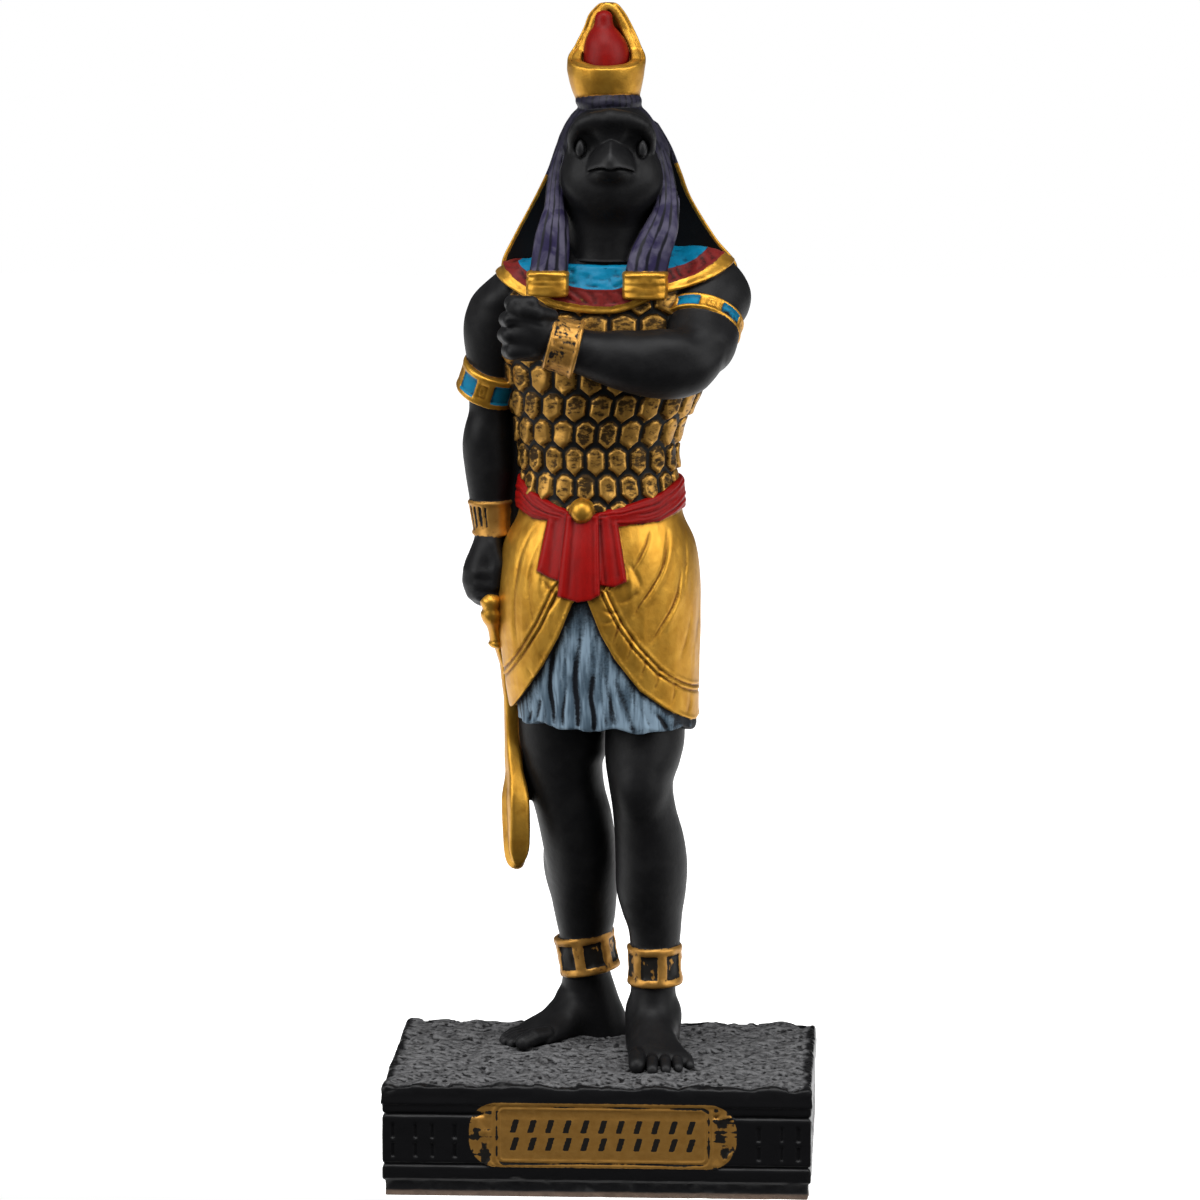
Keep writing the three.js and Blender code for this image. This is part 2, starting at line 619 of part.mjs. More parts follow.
// Uneven ground: a few waves of unlike lengths, the same on every build
function groundHeight(x, y) {
  const slow = Math.sin(0.9 * x + 0.5 * y) * Math.cos(0.8 * y - 0.4 * x);
  return 0.6 * slow + 0.4 * Math.sin(2.1 * x - 1.5 * y + 1);
}

function makeSlab() {
  const width = PLINTH_WIDTH;
  const depth = PLINTH_DEPTH;
  const slab = new THREE.BoxGeometry(width, depth, SLAB_THICKNESS, 10, 6, 1);
  const position = slab.attributes.position;
  for (let i = 0; i < position.count; i++) {
    if (position.getZ(i) < 0) continue;
    const x = position.getX(i);
    const y = position.getY(i);
    const edge = Math.min(width / 2 - Math.abs(x), depth / 2 - Math.abs(y));
    const worn = edge < 0.01 ? GROUND_RELIEF / 2 : 0;
    position.setZ(i, SLAB_THICKNESS / 2 + GROUND_RELIEF * groundHeight(x, y) - worn);
  }
  slab.translate(0, 0, PLINTH_HEIGHT - SLAB_THICKNESS / 2);
  return solid(slab);
}

function makePlinth() {
  const bodyWidth = PLINTH_WIDTH - 2 * SLAB_OVERHANG;
  const bodyDepth = PLINTH_DEPTH - 2 * SLAB_OVERHANG;
  const slabBottom = PLINTH_HEIGHT - SLAB_THICKNESS;
  const friezeTop = slabBottom - FRIEZE_MARGIN;
  const friezeBottom = PLINTH_FOOT_HEIGHT + FRIEZE_MARGIN;
  const foot = box(bodyWidth - 2 * PLINTH_FOOT_INSET, bodyDepth - 2 * PLINTH_FOOT_INSET, 0, slabBottom);
  const sunk = 2 * FRIEZE_SINK;
  return join(
    foot,
    box(bodyWidth, bodyDepth, PLINTH_FOOT_HEIGHT, friezeBottom),
    box(bodyWidth - sunk, bodyDepth - sunk, friezeBottom - FRIEZE_SINK, friezeTop + FRIEZE_SINK),
    box(bodyWidth, bodyDepth, friezeTop, slabBottom + FRIEZE_SINK),
    makeSlab(),
    makePlaque(bodyDepth / 2 - FRIEZE_SINK, (friezeTop + friezeBottom) / 2 + PLAQUE_LIFT),
  );
}

// Plaque with cut corners, a raised border and rows of strokes, on the plinth's front
function makePlaque(face, middle) {
  const panel = (width, height, corner, front, back) => {
    const w = width / 2;
    const h = height / 2;
    const plate = new THREE.ExtrudeGeometry(outline([
      [-w + corner, -h], [w - corner, -h], [w, -h + corner], [w, h - corner],
      [w - corner, h], [-w + corner, h], [-w, h - corner], [-w, -h + corner],
    ]), { depth: back - front, bevelEnabled: false });
    plate.rotateX(Math.PI / 2);
    plate.translate(0, back, middle);
    return solid(plate);
  };
  const back = -face + FRIEZE_SINK;
  const front = -face - PLAQUE_PROUD;
  const fieldWidth = PLAQUE_WIDTH - 2 * PLAQUE_END;
  const whole = panel(PLAQUE_WIDTH, PLAQUE_HEIGHT, PLAQUE_END, front + PLAQUE_BORDER / 2, back);
  const border = panel(fieldWidth, PLAQUE_HEIGHT, PLAQUE_END / 2, front, back);
  const field = panel(fieldWidth - 2 * PLAQUE_BORDER, PLAQUE_HEIGHT - 2 * PLAQUE_BORDER, PLAQUE_END / 2,
    front - 1, front + PLAQUE_BORDER / 2);
  return join(whole, border).subtract(field);
}

const figure = join(
  makePlinth(),
  makeLegs(),
  makeSword(),
  makeKilt(),
  makeTorso(),
  makeCollar(),
  makeHangingArm(),
  makeRaisedArm(),
  makeHead(),
  makeHeadcloth(),
  makeCrown(),
);

function toMesh(name, whole, material) {
  const { vertProperties, triVerts } = whole.getMesh();
  const geometry = new THREE.BufferGeometry();
  geometry.setAttribute('position', new THREE.BufferAttribute(new Float32Array(vertProperties), 3));
  geometry.setIndex(new THREE.BufferAttribute(new Uint32Array(triVerts), 1));
  geometry.computeVertexNormals();
  const mesh = new THREE.Mesh(geometry, material);
  mesh.name = name;
  return mesh;
}

const paintedResin = new THREE.MeshStandardMaterial({ color: 0x1c1b1d, roughness: 0.45, metalness: 0 });
const group = new THREE.Group();
group.add(toMesh('falcon_god_figurine', figure, paintedResin));

export default group;
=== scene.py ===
"""Painted, cold-cast resin figurine of a falcon-headed god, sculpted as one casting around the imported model.

The sculpture is a field of distances: every form (a limb, a fold, an armour plate) is a function that
says how far a point is from its surface, and the forms are blended and carved like clay. The field is
turned into one closed mesh. Its points carry, for each paint, their distance to the edge of that paint.

Lengths inside the sculpture are shares: thousandths of the figure's height, from the middle of the
plinth's top, x to the figure's left, y to its back, z up.
"""
import math
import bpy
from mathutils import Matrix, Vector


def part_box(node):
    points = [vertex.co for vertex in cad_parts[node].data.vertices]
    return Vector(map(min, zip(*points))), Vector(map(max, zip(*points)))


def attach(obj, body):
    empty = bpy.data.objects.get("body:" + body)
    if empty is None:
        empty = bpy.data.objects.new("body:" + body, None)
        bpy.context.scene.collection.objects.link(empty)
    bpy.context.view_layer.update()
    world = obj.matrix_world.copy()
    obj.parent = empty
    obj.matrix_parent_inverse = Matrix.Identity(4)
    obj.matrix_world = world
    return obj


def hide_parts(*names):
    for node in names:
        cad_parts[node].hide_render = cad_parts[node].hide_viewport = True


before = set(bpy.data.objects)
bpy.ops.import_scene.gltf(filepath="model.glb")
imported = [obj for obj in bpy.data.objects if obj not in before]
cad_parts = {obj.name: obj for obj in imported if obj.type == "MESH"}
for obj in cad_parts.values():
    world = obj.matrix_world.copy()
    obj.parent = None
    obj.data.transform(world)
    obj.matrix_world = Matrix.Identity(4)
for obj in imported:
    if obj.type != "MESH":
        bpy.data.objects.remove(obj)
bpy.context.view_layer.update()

from types import SimpleNamespace

import bpy
import numpy as np
import openvdb
from mathutils import Matrix, Vector

NODE = "falcon_god_figurine"
LOW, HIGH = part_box(NODE)
PLINTH_HEIGHT = 0.0087
SHARE = (HIGH.z - PLINTH_HEIGHT) / 1000
GROUND = -PLINTH_HEIGHT / SHARE  # the plinth's underside, in shares
HALF_WIDTH = HIGH.x / SHARE
HALF_DEPTH = HIGH.y / SHARE

VOXEL_SCALE = 1.0
FAR = 6.0  # distances are kept up to this from the surface
SLICES = 24  # the field is filled this many slices at a time

UP, DOWN = (0, 0, 1), (0, 0, -1)
LEFT, AHEAD = (1, 0, 0), (0, -1, 0)


# Small tools

def ramp(value, low, high):
    t = np.clip((value - low) / (high - low), 0, 1)
    return t * t * (3 - 2 * t)


def bell(value, width):
    return np.exp(-(value / width) ** 2)


def smooth_min(a, b, k):
    if k <= 0:
        return np.minimum(a, b)
    h = np.maximum(k - np.abs(a - b), 0) / k
    return np.minimum(a, b) - h * h * k * 0.25


def smooth_max(a, b, k):
    return -smooth_min(-a, -b, k)


def hashed(i, j, k, seed=0):
    """A number from 0 to 1 for each whole-numbered place, always the same."""
    n = (i * 73856093) ^ (j * 19349663) ^ (k * 83492791) ^ (seed * 2654435761)
    n = (n ^ (n >> 13)) * 1274126177
    return ((n ^ (n >> 16)) & 0xFFFF).astype(np.float32) / 65535


def runs_along(axis, value):
    return value.size == 1 or value.ndim == 3 and value.size == value.shape[axis]


def noise(x, y, z, size, seed=0):
    """Smooth noise from -1 to 1 with features of about this size."""
    scaled = [np.asarray(value / each) for value, each in zip((x, y, z), np.broadcast_to(size, 3))]
    if all(runs_along(axis, value) for axis, value in enumerate(scaled)):
        return lattice_noise(scaled, seed)
    places, parts = [], []
    for value in np.broadcast_arrays(*scaled):
        whole = np.floor(value)
        rest = (value - whole).astype(np.float32)
        places.append(whole.astype(np.int64))
        parts.append(rest * rest * (3 - 2 * rest))
    total = 0
    for corner in np.ndindex(2, 2, 2):
        weight = 1
        for part, at in zip(parts, corner):
            weight = weight * (part if at else 1 - part)
        total = total + weight * hashed(*(p + at for p, at in zip(places, corner)), seed)
    return total * 2 - 1


def lattice_noise(scaled, seed):
    """The same noise on a block whose x, y and z each run along one axis: far quicker."""
    places, parts = [], []
    for value in scaled:
        whole = np.floor(value).astype(np.int64).ravel()
        rest = (value.ravel() - whole).astype(np.float32)
        places.append(whole)
        parts.append(rest * rest * (3 - 2 * rest))
    spans = [np.arange(whole.min(), whole.max() + 2) for whole in places]
    table = hashed(spans[0][:, None, None], spans[1][None, :, None], spans[2][None, None, :], seed)
    for axis, (whole, part, span) in enumerate(zip(places, parts, spans)):
        low = np.take(table, whole - span[0], axis=axis)
        high = np.take(table, whole - span[0] + 1, axis=axis)
        shape = [1, 1, 1]
        shape[axis] = -1
        table = low + (high - low) * part.reshape(shape)
    return table * 2 - 1


def unit(axis):
    axis = np.asarray(axis, float)
    return axis / np.linalg.norm(axis)


def along_axis(axis, x, y, z):
    total = np.float32(0)
    for amount, value in zip(axis, (x, y, z)):
        if abs(amount) > 1e-9:
            total = total + np.float32(amount) * value
    return total


def segment_distance(u, v, start, end):
    du, dv = end[0] - start[0], end[1] - start[1]
    t = np.clip(((u - start[0]) * du + (v - start[1]) * dv) / (du * du + dv * dv), 0, 1)
    return np.hypot(u - start[0] - t * du, v - start[1] - t * dv)


def line_distance(points, u, v):
    return np.minimum.reduce([segment_distance(u, v, p, q) for p, q in zip(points, points[1:])])


def polygon_distance(points, u, v):
    """Distance to an outline in a plane, negative inside it."""
    inside = np.zeros(np.broadcast(u, v).shape, bool)
    for (u0, v0), (u1, v1) in zip(points, points[1:] + points[:1]):
        if v0 != v1:
            crossing = (v0 > v) != (v1 > v)
            inside ^= crossing & (u < (u1 - u0) * (v - v0) / (v1 - v0) + u0)
    edge = line_distance(points + points[:1], u, v)
    return np.where(inside, -edge, edge)


def curve_through(points, steps=6):
    """The points of a smooth line through the given ones."""
    rows = np.array(points, float)
    return [tuple(row_at(rows, t)) for t in np.linspace(0, len(rows) - 1, steps * (len(rows) - 1) + 1)]


def row_at(rows, t):
    i = min(int(t), len(rows) - 2)
    f = t - i
    a, b, c, d = rows[max(i - 1, 0)], rows[i], rows[i + 1], rows[min(i + 2, len(rows) - 1)]
    return b + 0.5 * ((c - a) * f + (2 * a - 5 * b + 4 * c - d) * f * f + (3 * b - a - 3 * c + d) * f ** 3)


# Shapes: each has a lowest and a highest corner, and gives a distance that is negative inside

class Loft:
    """A skin over rows [x, y, z, half width, half depth], given in order along the limb."""

    def __init__(self, rows, along=UP, wide=LEFT, power=2.0, rounding=3.0, relief=None):
        rows = np.array(rows, float)
        self.axis = unit(along)
        self.across = unit(np.asarray(wide, float) - self.axis * np.dot(wide, self.axis))
        self.ahead = np.cross(self.across, self.axis)
        self.fine = np.array([row_at(rows, t) for t in np.linspace(0, len(rows) - 1, 12 * len(rows))])
        self.place = self.fine[:, :3] @ self.axis
        self.power, self.rounding, self.relief = power, rounding, relief
        reach = np.sqrt(1 - self.axis ** 2) * self.fine[:, 3:].max(axis=1)[:, None] + 4
        self.low = (self.fine[:, :3] - reach).min(axis=0)
        self.high = (self.fine[:, :3] + reach).max(axis=0)

    def grown(self, amount):
        other = Loft.__new__(Loft)
        other.__dict__.update(self.__dict__)
        other.fine = self.fine + np.array([0, 0, 0, amount, amount])
        other.low, other.high = self.low - amount, self.high + amount
        return other

    def section(self, x, y, z):
        s = along_axis(self.axis, x, y, z)

        def at(values):
            return np.interp(s, self.place, values).astype(np.float32)

        u = along_axis(self.across, x, y, z) - at(self.fine[:, :3] @ self.across)
        v = along_axis(self.ahead, x, y, z) - at(self.fine[:, :3] @ self.ahead)
        return SimpleNamespace(s=s, u=u, v=v, a=at(self.fine[:, 3]), b=at(self.fine[:, 4]), x=x, y=y, z=z)

    def side(self, p):
        """Distance to the endless skin, round the axis."""
        n = self.power
        u, v = np.abs(p.u) / p.a, np.abs(p.v) / p.b
        if n == 2:
            reach = np.sqrt(u * u + v * v) + 1e-6
            slope = np.sqrt((u / p.a) ** 2 + (v / p.b) ** 2) / reach + 1e-6
        else:
            reach = (u ** n + v ** n) ** (1 / n) + 1e-6
            slope = np.sqrt((u ** (n - 1) / p.a) ** 2 + (v ** (n - 1) / p.b) ** 2) / reach ** (n - 1) + 1e-6
        return (reach - 1) / slope

    def __call__(self, x, y, z):
        p = self.section(x, y, z)
        d = self.side(p)
        if self.relief is not None:
            d = d - self.relief(p)
        ends = np.maximum(self.place[0] - p.s, p.s - self.place[-1])
        return smooth_max(d, ends, self.rounding)


def angle_of(p):
    """Angle round a section, 0 in front, growing to the figure's left."""
    return np.arctan2(p.u / p.a, p.v / p.b)


class Shape:
    """Any distance function with its box."""

    def __init__(self, low, high, distance):
        self.low, self.high, self.distance = np.array(low, float), np.array(high, float), distance

    def __call__(self, x, y, z):
        return self.distance(x, y, z)


def ball(centre, radii):
    cx, cy, cz = centre
    rx, ry, rz = radii

    def distance(x, y, z):
        u, v, w = (x - cx) / rx, (y - cy) / ry, (z - cz) / rz
        reach = np.sqrt(u * u + v * v + w * w) + 1e-6
        slope = np.sqrt((u / rx) ** 2 + (v / ry) ** 2 + (w / rz) ** 2) / reach + 1e-6
        return (reach - 1) / slope

    return Shape(np.subtract(centre, radii), np.add(centre, radii), distance)


def finger(points, radii):
    """A rounded limb through the points, with a radius at each."""
    points = [np.array(p, float) for p in points]

    def distance(x, y, z):
        best = None
        for start, end, r0, r1 in zip(points, points[1:], radii, radii[1:]):
            d = end - start
            px, py, pz = x - start[0], y - start[1], z - start[2]
            t = np.clip((px * d[0] + py * d[1] + pz * d[2]) / (d @ d), 0, 1)
            away = np.sqrt((px - t * d[0]) ** 2 + (py - t * d[1]) ** 2 + (pz - t * d[2]) ** 2)
            each = away - (r0 + t * (r1 - r0))
            best = each if best is None else np.minimum(best, each)
        return best

    reach = max(radii)
    return Shape(np.min(points, axis=0) - reach, np.max(points, axis=0) + reach, distance)


def joined(k, *shapes):
    def distance(x, y, z):
        best = shapes[0](x, y, z)
        for shape in shapes[1:]:
            best = smooth_min(best, shape(x, y, z), k)
        return best

    return Shape(np.min([s.low for s in shapes], axis=0), np.max([s.high for s in shapes], axis=0), distance)


def carved(whole, k, *tools):
    def distance(x, y, z):
        d = whole(x, y, z)
        for tool in tools:
            d = smooth_max(d, -tool(x, y, z), k)
        return d

    return Shape(whole.low, whole.high, distance)


def front_prism(points, front, back, rounding=2.0):
    """A front view (x, z), pushed through the figure from y = front to y = back."""
    flat = np.array(points)

    def distance(x, y, z):
        outline = polygon_distance(points, x, z)
        return smooth_max(outline, np.maximum(front - y, y - back), rounding)

    low, high = flat.min(axis=0), flat.max(axis=0)
    return Shape((low[0], front, low[1]), (high[0], back, high[1]), distance)


def smooth_lines(rows):
    """Lines for a relief, from rows of (width, height, the points they run through)."""
    return [(curve_through(points), width, height) for width, height, points in rows]


def strokes(lines, u, v):
    """Height of a drawing: each line is (points, width, height), a groove where the height is negative."""
    total = np.float32(0)
    for points, width, height in lines:
        total = total + height * bell(line_distance(points, u, v), width)
    return total


def faded(lines, u, v):
    """The same, but each line fades out towards both its ends."""
    total = np.float32(0)
    for points, width, height in lines:
        best = np.float32(0)
        for i, (start, end) in enumerate(zip(points, points[1:])):
            weight = math.sin(math.pi * (i + 0.5) / (len(points) - 1)) ** 0.6
            best = np.maximum(best, weight * bell(segment_distance(u, v, start, end), width))
        total = total + height * best
    return total


# Body rows, from the bottom up
TORSO = [
    (-4, 24.5, 500, 76, 60), (-4.5, 24.5, 535, 75.5, 58), (-5.5, 24.5, 565, 73, 56),
    (-5.8, 24.5, 594, 76.5, 57), (-2, 24.5, 620, 84.5, 59), (2.5, 24.5, 647, 93.5, 61.5),
    (6, 24.5, 680, 105, 63.5), (7, 24.5, 710, 109, 62), (7, 24, 735, 101, 58), (7, 23, 755, 77, 50),
    (6, 21, 775, 47, 40), (5, 17, 792, 37, 35), (5, 13, 812, 37, 35),
]
KILT = [
    (0.6, 24.5, 322, 89, 69), (-2, 24.5, 347, 91.2, 70.5), (-3.5, 24.5, 370, 92.8, 72),
    (-5.6, 24.5, 415, 95.8, 73.5), (-5.8, 24.5, 455, 96.4, 72.5), (-4.8, 24.5, 490, 91, 68),
    (-4, 24.5, 516, 79, 61), (-4, 24.5, 534, 76, 58),
]
SKIRT = [
    (3, 24, 318, 83.5, 64), (1.5, 24, 345, 84.5, 65.5), (-2, 24.5, 410, 86, 67), (-4, 24.5, 470, 80, 60),
]
HANGING_ARM = [
    (-78, 28, 753, 15, 24), (-93, 30, 728, 28.5, 36), (-99, 32, 711, 30.5, 37), (-103, 33, 694, 29.5, 35),
    (-106, 35, 668, 25.5, 30), (-108, 36, 640, 22, 27), (-109, 37, 612, 20.5, 25), (-111, 37, 582, 24.4, 26),
    (-110, 36, 558, 23.5, 25), (-109.3, 35, 528, 19.5, 21), (-107.5, 33, 495, 16.5, 19.5),
]
RAISED_UPPER_ARM = [
    (80, 44, 752, 18, 22), (92, 30, 743, 32, 32), (99, 14, 729, 38, 35), (98.5, 0, 717, 38.5, 35),
    (94.5, -13, 706, 34.5, 31.5), (94, -22, 699, 34, 30.5), (95, -34, 689, 32.5, 30),
    (94, -50, 677, 28, 27.5), (88, -62, 668, 18, 19),
]
FOREARM = [
    (116, -47, 675, 6, 7), (109, -50, 671, 14, 16), (97, -54, 667, 23, 23), (78, -58, 667, 29.5, 27),
    (58, -61, 669, 31.5, 28.5), (36, -63, 671.5, 30, 28), (14, -65, 675, 27, 26), (-10, -66, 679.5, 22, 21.5),
    (-46, -68, 692, 20, 20),
]
UPPER_ARM_AXIS = (0.08, -0.78, -0.62)

torso_loft = Loft(TORSO)
kilt_loft = Loft(KILT)
hanging_loft = Loft(HANGING_ARM, along=DOWN, rounding=8)
upper_arm_loft = Loft(RAISED_UPPER_ARM, along=UPPER_ARM_AXIS, rounding=8)


# Armour

PLATES_AROUND = 20
PLATE_FIRST_ROW = 549.5
PLATE_PITCH = 25.3
PLATE_POINT = 9  # height of a plate's point
PLATE_CUT = 3  # how much of the upper point is cut off
PLATE_GAP = 3.2
PLATE_PROUD = 3.4


def plate_turn(p):
    """The angle round the chest by arc length, and the mean radius."""
    angle = angle_of(p)
    mean = np.sqrt((p.a ** 2 + p.b ** 2) / 2)
    return angle + (p.a / mean - 1) / 2 * np.sin(2 * angle), mean


def plates(p):
    """Height of the scale armour: staggered, six-sided plates, each row hanging over the one below."""
    turn, mean = plate_turn(p)
    around = turn * PLATES_AROUND / (2 * math.pi)
    half = math.pi * mean / PLATES_AROUND
    tip = (PLATE_PITCH + PLATE_POINT) / 2
    slant = np.hypot(PLATE_POINT, half)
    wobble = 0.35 * noise(p.x, p.y, p.z, 6, seed=3)
    lowest = np.floor((p.z - PLATE_FIRST_ROW) / PLATE_PITCH)
    edge, height = np.float32(99), np.float32(0)
    for row in (lowest, lowest + 1):
        shift = 0.5 * np.mod(row + 1, 2)
        column = np.round(around - shift)
        place = np.mod(column, PLATES_AROUND).astype(np.int64)
        level = row.astype(np.int64)
        lot = hashed(place, level, 0 * level, 5)
        across = np.abs(around - shift - column) * 2 * half
        up = p.z - (PLATE_FIRST_ROW + row * PLATE_PITCH)
        each = np.maximum((across * PLATE_POINT + (np.abs(up) - tip) * half) / slant, across - half)
        each = np.maximum(each, up - tip + PLATE_CUT) + PLATE_GAP / 2 + 0.5 * (lot - 0.5) + wobble
        lean = 0.35 * (hashed(place, level, 0 * level, 9) - 0.5)
        tilt = 1 - 0.5 * up / tip + lean - 0.25 * (across / half) ** 2
        nearer = each < edge
        height = np.where(nearer, tilt, height)
        edge = np.where(nearer, each, edge)
    shown = ramp(p.z, 523, 529) * ramp(p.z, 736, 728)
    dents = 0.35 * noise(p.x, p.y, p.z, 9, seed=4)
    return shown * (PLATE_PROUD * (height + dents) * ramp(-edge, 0, 2.4) - 0.8)


# Kilt, skirt and sash

KILT_HEM = 328
KILT_TILT = 5  # the hem hangs lower on the figure's left
LEFT_EDGE = [(-10, 470), (-20, 450), (-27.5, 441), (-40.5, 409), (-56, 380), (-77, 348), (-90, 330)]
RIGHT_EDGE = [(-16, 452), (-10, 437), (0, 412), (13, 389), (36, 358), (60, 339), (83, 325), (98, 319)]
HEM_HEIGHTS = (330, 445)
LEFT_BAND, RIGHT_BAND = (25, 17), (26, 15)  # widths of the ornamented edge of each flap at those heights
KILT_MIDDLE_Y = 24.5
KILT_CREASES = smooth_lines([
    (1.5, -1.5, [(44, 508), (41, 495), (35, 483), (29, 474)]),
    (2.6, 0.7, [(47, 506), (44, 493), (38, 480)]),
    (1.4, -1.6, [(61, 508), (60, 490), (56, 472), (46, 454), (36, 440), (30, 429)]),
    (2.8, 0.9, [(65, 506), (64, 489), (60, 471), (50, 452), (40, 438)]),
    (1.4, -1.5, [(74, 470), (71, 450), (65, 434), (55, 418), (47, 404)]),
    (2.8, 0.8, [(78, 468), (75, 448), (69, 432), (60, 416)]),
    (1.4, -0.8, [(76, 506), (78, 482), (77, 460), (74, 440)]),
    (1.5, -0.8, [(88, 492), (91, 460), (90, 425), (86, 395)]),
    (1.6, -0.7, [(83, 430), (80, 408), (74, 388)]),
    (2.2, -0.9, [(27, 478), (33, 468), (36, 458), (33, 450)]),
    (2.2, -0.9, [(33, 452), (26, 446), (18, 443)]),
    (2.4, 0.8, [(24, 470), (28, 460), (27, 450)]),
    (1.7, -0.8, [(-52, 506), (-62, 486), (-68, 462), (-68, 440), (-64, 420)]),
    (1.7, -0.9, [(-66, 508), (-76, 486), (-82, 455), (-83, 425), (-80, 395)]),
    (1.7, -0.7, [(-46, 500), (-54, 476), (-57, 454), (-54, 436)]),
    (2.4, 0.5, [(-60, 498), (-72, 465), (-76, 432), (-74, 400)]),
    (1.6, -1.1, [(-54, 462), (-48, 454), (-41, 448)]),
    (1.6, -1.0, [(-34, 462), (-40, 448), (-50, 434)]),
    (1.8, -1.2, [(3, 436), (9, 433), (15, 434)]),
    (1.5, -0.9, [(2, 424), (9, 425), (14, 430)]),
    (1.7, -1.3, [(19, 428), (15, 416), (11, 406)]),
    (2.2, 0.8, [(23, 420), (21, 408), (17, 398)]),
    (1.6, -1.2, [(29, 412), (28, 400), (24, 388)]),
    (2.2, 0.8, [(34, 404), (34, 394), (31, 384)]),
    (1.6, -1.1, [(42, 394), (41, 382), (37, 372)]),
    (1.6, -0.8, [(54, 378), (53, 368), (50, 358)]),
    (1.6, -0.8, [(68, 366), (68, 354), (66, 344)]),
    (1.6, -0.8, [(82, 354), (82, 342), (80, 332)]),
    (1.5, -0.9, [(-36, 424), (-30, 418), (-27, 410)]),
    (1.5, -0.9, [(-46, 408), (-41, 400), (-39, 390)]),
    (1.5, -0.8, [(-58, 392), (-53, 382), (-51, 372)]),
    (1.5, -0.8, [(-70, 376), (-65, 366), (-64, 356)]),
])


def kilt_relief(p):
    angle = angle_of(p)
    front = ramp(KILT_MIDDLE_Y - p.y, -8, 14)
    left, right = line_distance(LEFT_EDGE, p.x, p.z), line_distance(RIGHT_EDGE, p.x, p.z)
    nearer = left < right
    opening = np.where(nearer, left, right)
    left_width, right_width = (np.interp(p.z, HEM_HEIGHTS, widths) for widths in (LEFT_BAND, RIGHT_BAND))
    inner = opening - np.where(nearer, left_width, right_width)
    hem = 1.0 * bell(inner - 2.6, 1.5) - 1.2 * bell(inner, 1.1) - 1.1 * bell(inner - 5.2, 1.1)
    hem = hem + 0.6 * bell(inner - 7.6, 1.6) + 0.7 * bell(opening - 1.5, 1.6)
    inside_band = ramp(inner, 2, -2)
    lines = faded(KILT_CREASES, p.x, p.z)
    low = ramp(p.z, 530, 380)
    sides = (0.9 * np.cos(17 * angle + 0.012 * p.z) + 0.7 * np.cos(9 * angle - 0.02 * p.z + 1)) * low
    rough = 0.25 * noise(p.x, p.y, p.z, (5, 5, 24), seed=11)
    rim = 0.8 * bell(p.z + KILT_TILT * np.sin(angle) - KILT_HEM - 4, 2.5)
    band = -0.9 * bell(p.z + KILT_TILT * np.sin(angle) - KILT_HEM - 26, 1.4)
    plain = 1 - front
    return front * (hem + lines + 0.25 * sides * (1 - inside_band)) + plain * (sides + rim + band) + rough


def kilt():
    hem = [(-120, 318)] + LEFT_EDGE[::-1] + [(-16, 480)] + RIGHT_EDGE + [(130, 306), (130, 280), (-120, 280)]

    def wrap(x, y, z):
        p = kilt_loft.section(x, y, z)
        d = kilt_loft.side(p) - kilt_relief(p)
        angle = angle_of(p)
        bottom = KILT_HEM - KILT_TILT * np.sin(angle) + 0.8 * np.sin(9 * angle) - z
        d = smooth_max(d, np.maximum(bottom, z - 526), 4)
        opening = np.maximum(polygon_distance(hem, x, z), y - KILT_MIDDLE_Y)
        return smooth_max(d, -opening, 1.6)

    return [
        Form("gold", Shape((-104, -56, 305), (100, 104, 540), wrap), 0.8),
        Form("slate", skirt(), 0.8),
        Form("red", sash(), 1.2),
        *tails(),
        Form("gold", joined(1, ball((-18.3, -39, 528), (10.5, 9, 11)),
                            ball((-18.3, -34, 528), (12.5, 7, 12.5))), 0.8),
    ]


PLEATS = 11
DEEP_PLEATS = smooth_lines([
    (3.6, -5.5, [(-47, 306), (-46, 335), (-49, 362), (-46, 392), (-40, 410)]),
    (4.2, -6.0, [(-24, 304), (-22, 335), (-25, 365), (-22, 395), (-16, 425)]),
    (3.4, -5.0, [(-7, 304), (-7, 330), (-10, 352), (-8, 372)]),
    (2.2, -1.6, [(-36, 306), (-37, 330), (-34, 352), (-30, 372)]),
    (2.8, -2.6, [(-66, 308), (-62, 328), (-58, 346)]),
    (2.2, -2.2, [(-74, 308), (-70, 322), (-67, 334)]),
    (2.2, -1.6, [(-57, 308), (-55, 322), (-53, 340)]),
    (3.2, -1.8, [(12, 304), (11, 330), (6, 356), (1, 385)]),
    (3.0, -1.4, [(30, 304), (28, 326), (20, 350), (12, 370)]),
    (2.8, -1.2, [(48, 306), (44, 326), (35, 345)]),
    (2.6, -2.2, [(64, 306), (58, 324), (50, 336)]),
    (2.4, 1.8, [(2, 306), (1, 325), (-1, 345)]),
    (2.6, 1.6, [(20, 306), (19, 326), (13, 350)]),
])


def skirt_relief(p):
    """Gathered pleats of unlike widths, deeper towards the hem."""
    angle = angle_of(p)
    wander = 1.4 * np.sin(3 * angle + 0.6) + 0.9 * np.sin(5 * angle + 2.1)
    wander = wander + 0.6 * noise(p.x, p.y, p.z, (20, 20, 60), 21)
    fold = np.abs(np.sin(PLEATS * angle + wander)) ** 0.6 - 0.7
    small = noise(p.x + 0.1 * p.z, p.y, p.z, (5, 5, 40), 22)
    low = ramp(p.z, 460, 330)
    front = ramp(-p.y, -18, 0)
    deep = faded(DEEP_PLEATS, p.x, p.z) * (0.45 + 0.55 * ramp(p.z, 420, 350))
    hem = 1.6 * bell(p.z - 320, 4) * noise(p.x, p.y, p.z, 9, 23)
    return (1 - front) * (1 + 3.2 * low) * fold + front * (deep + 0.9) + 0.9 * small * low + hem


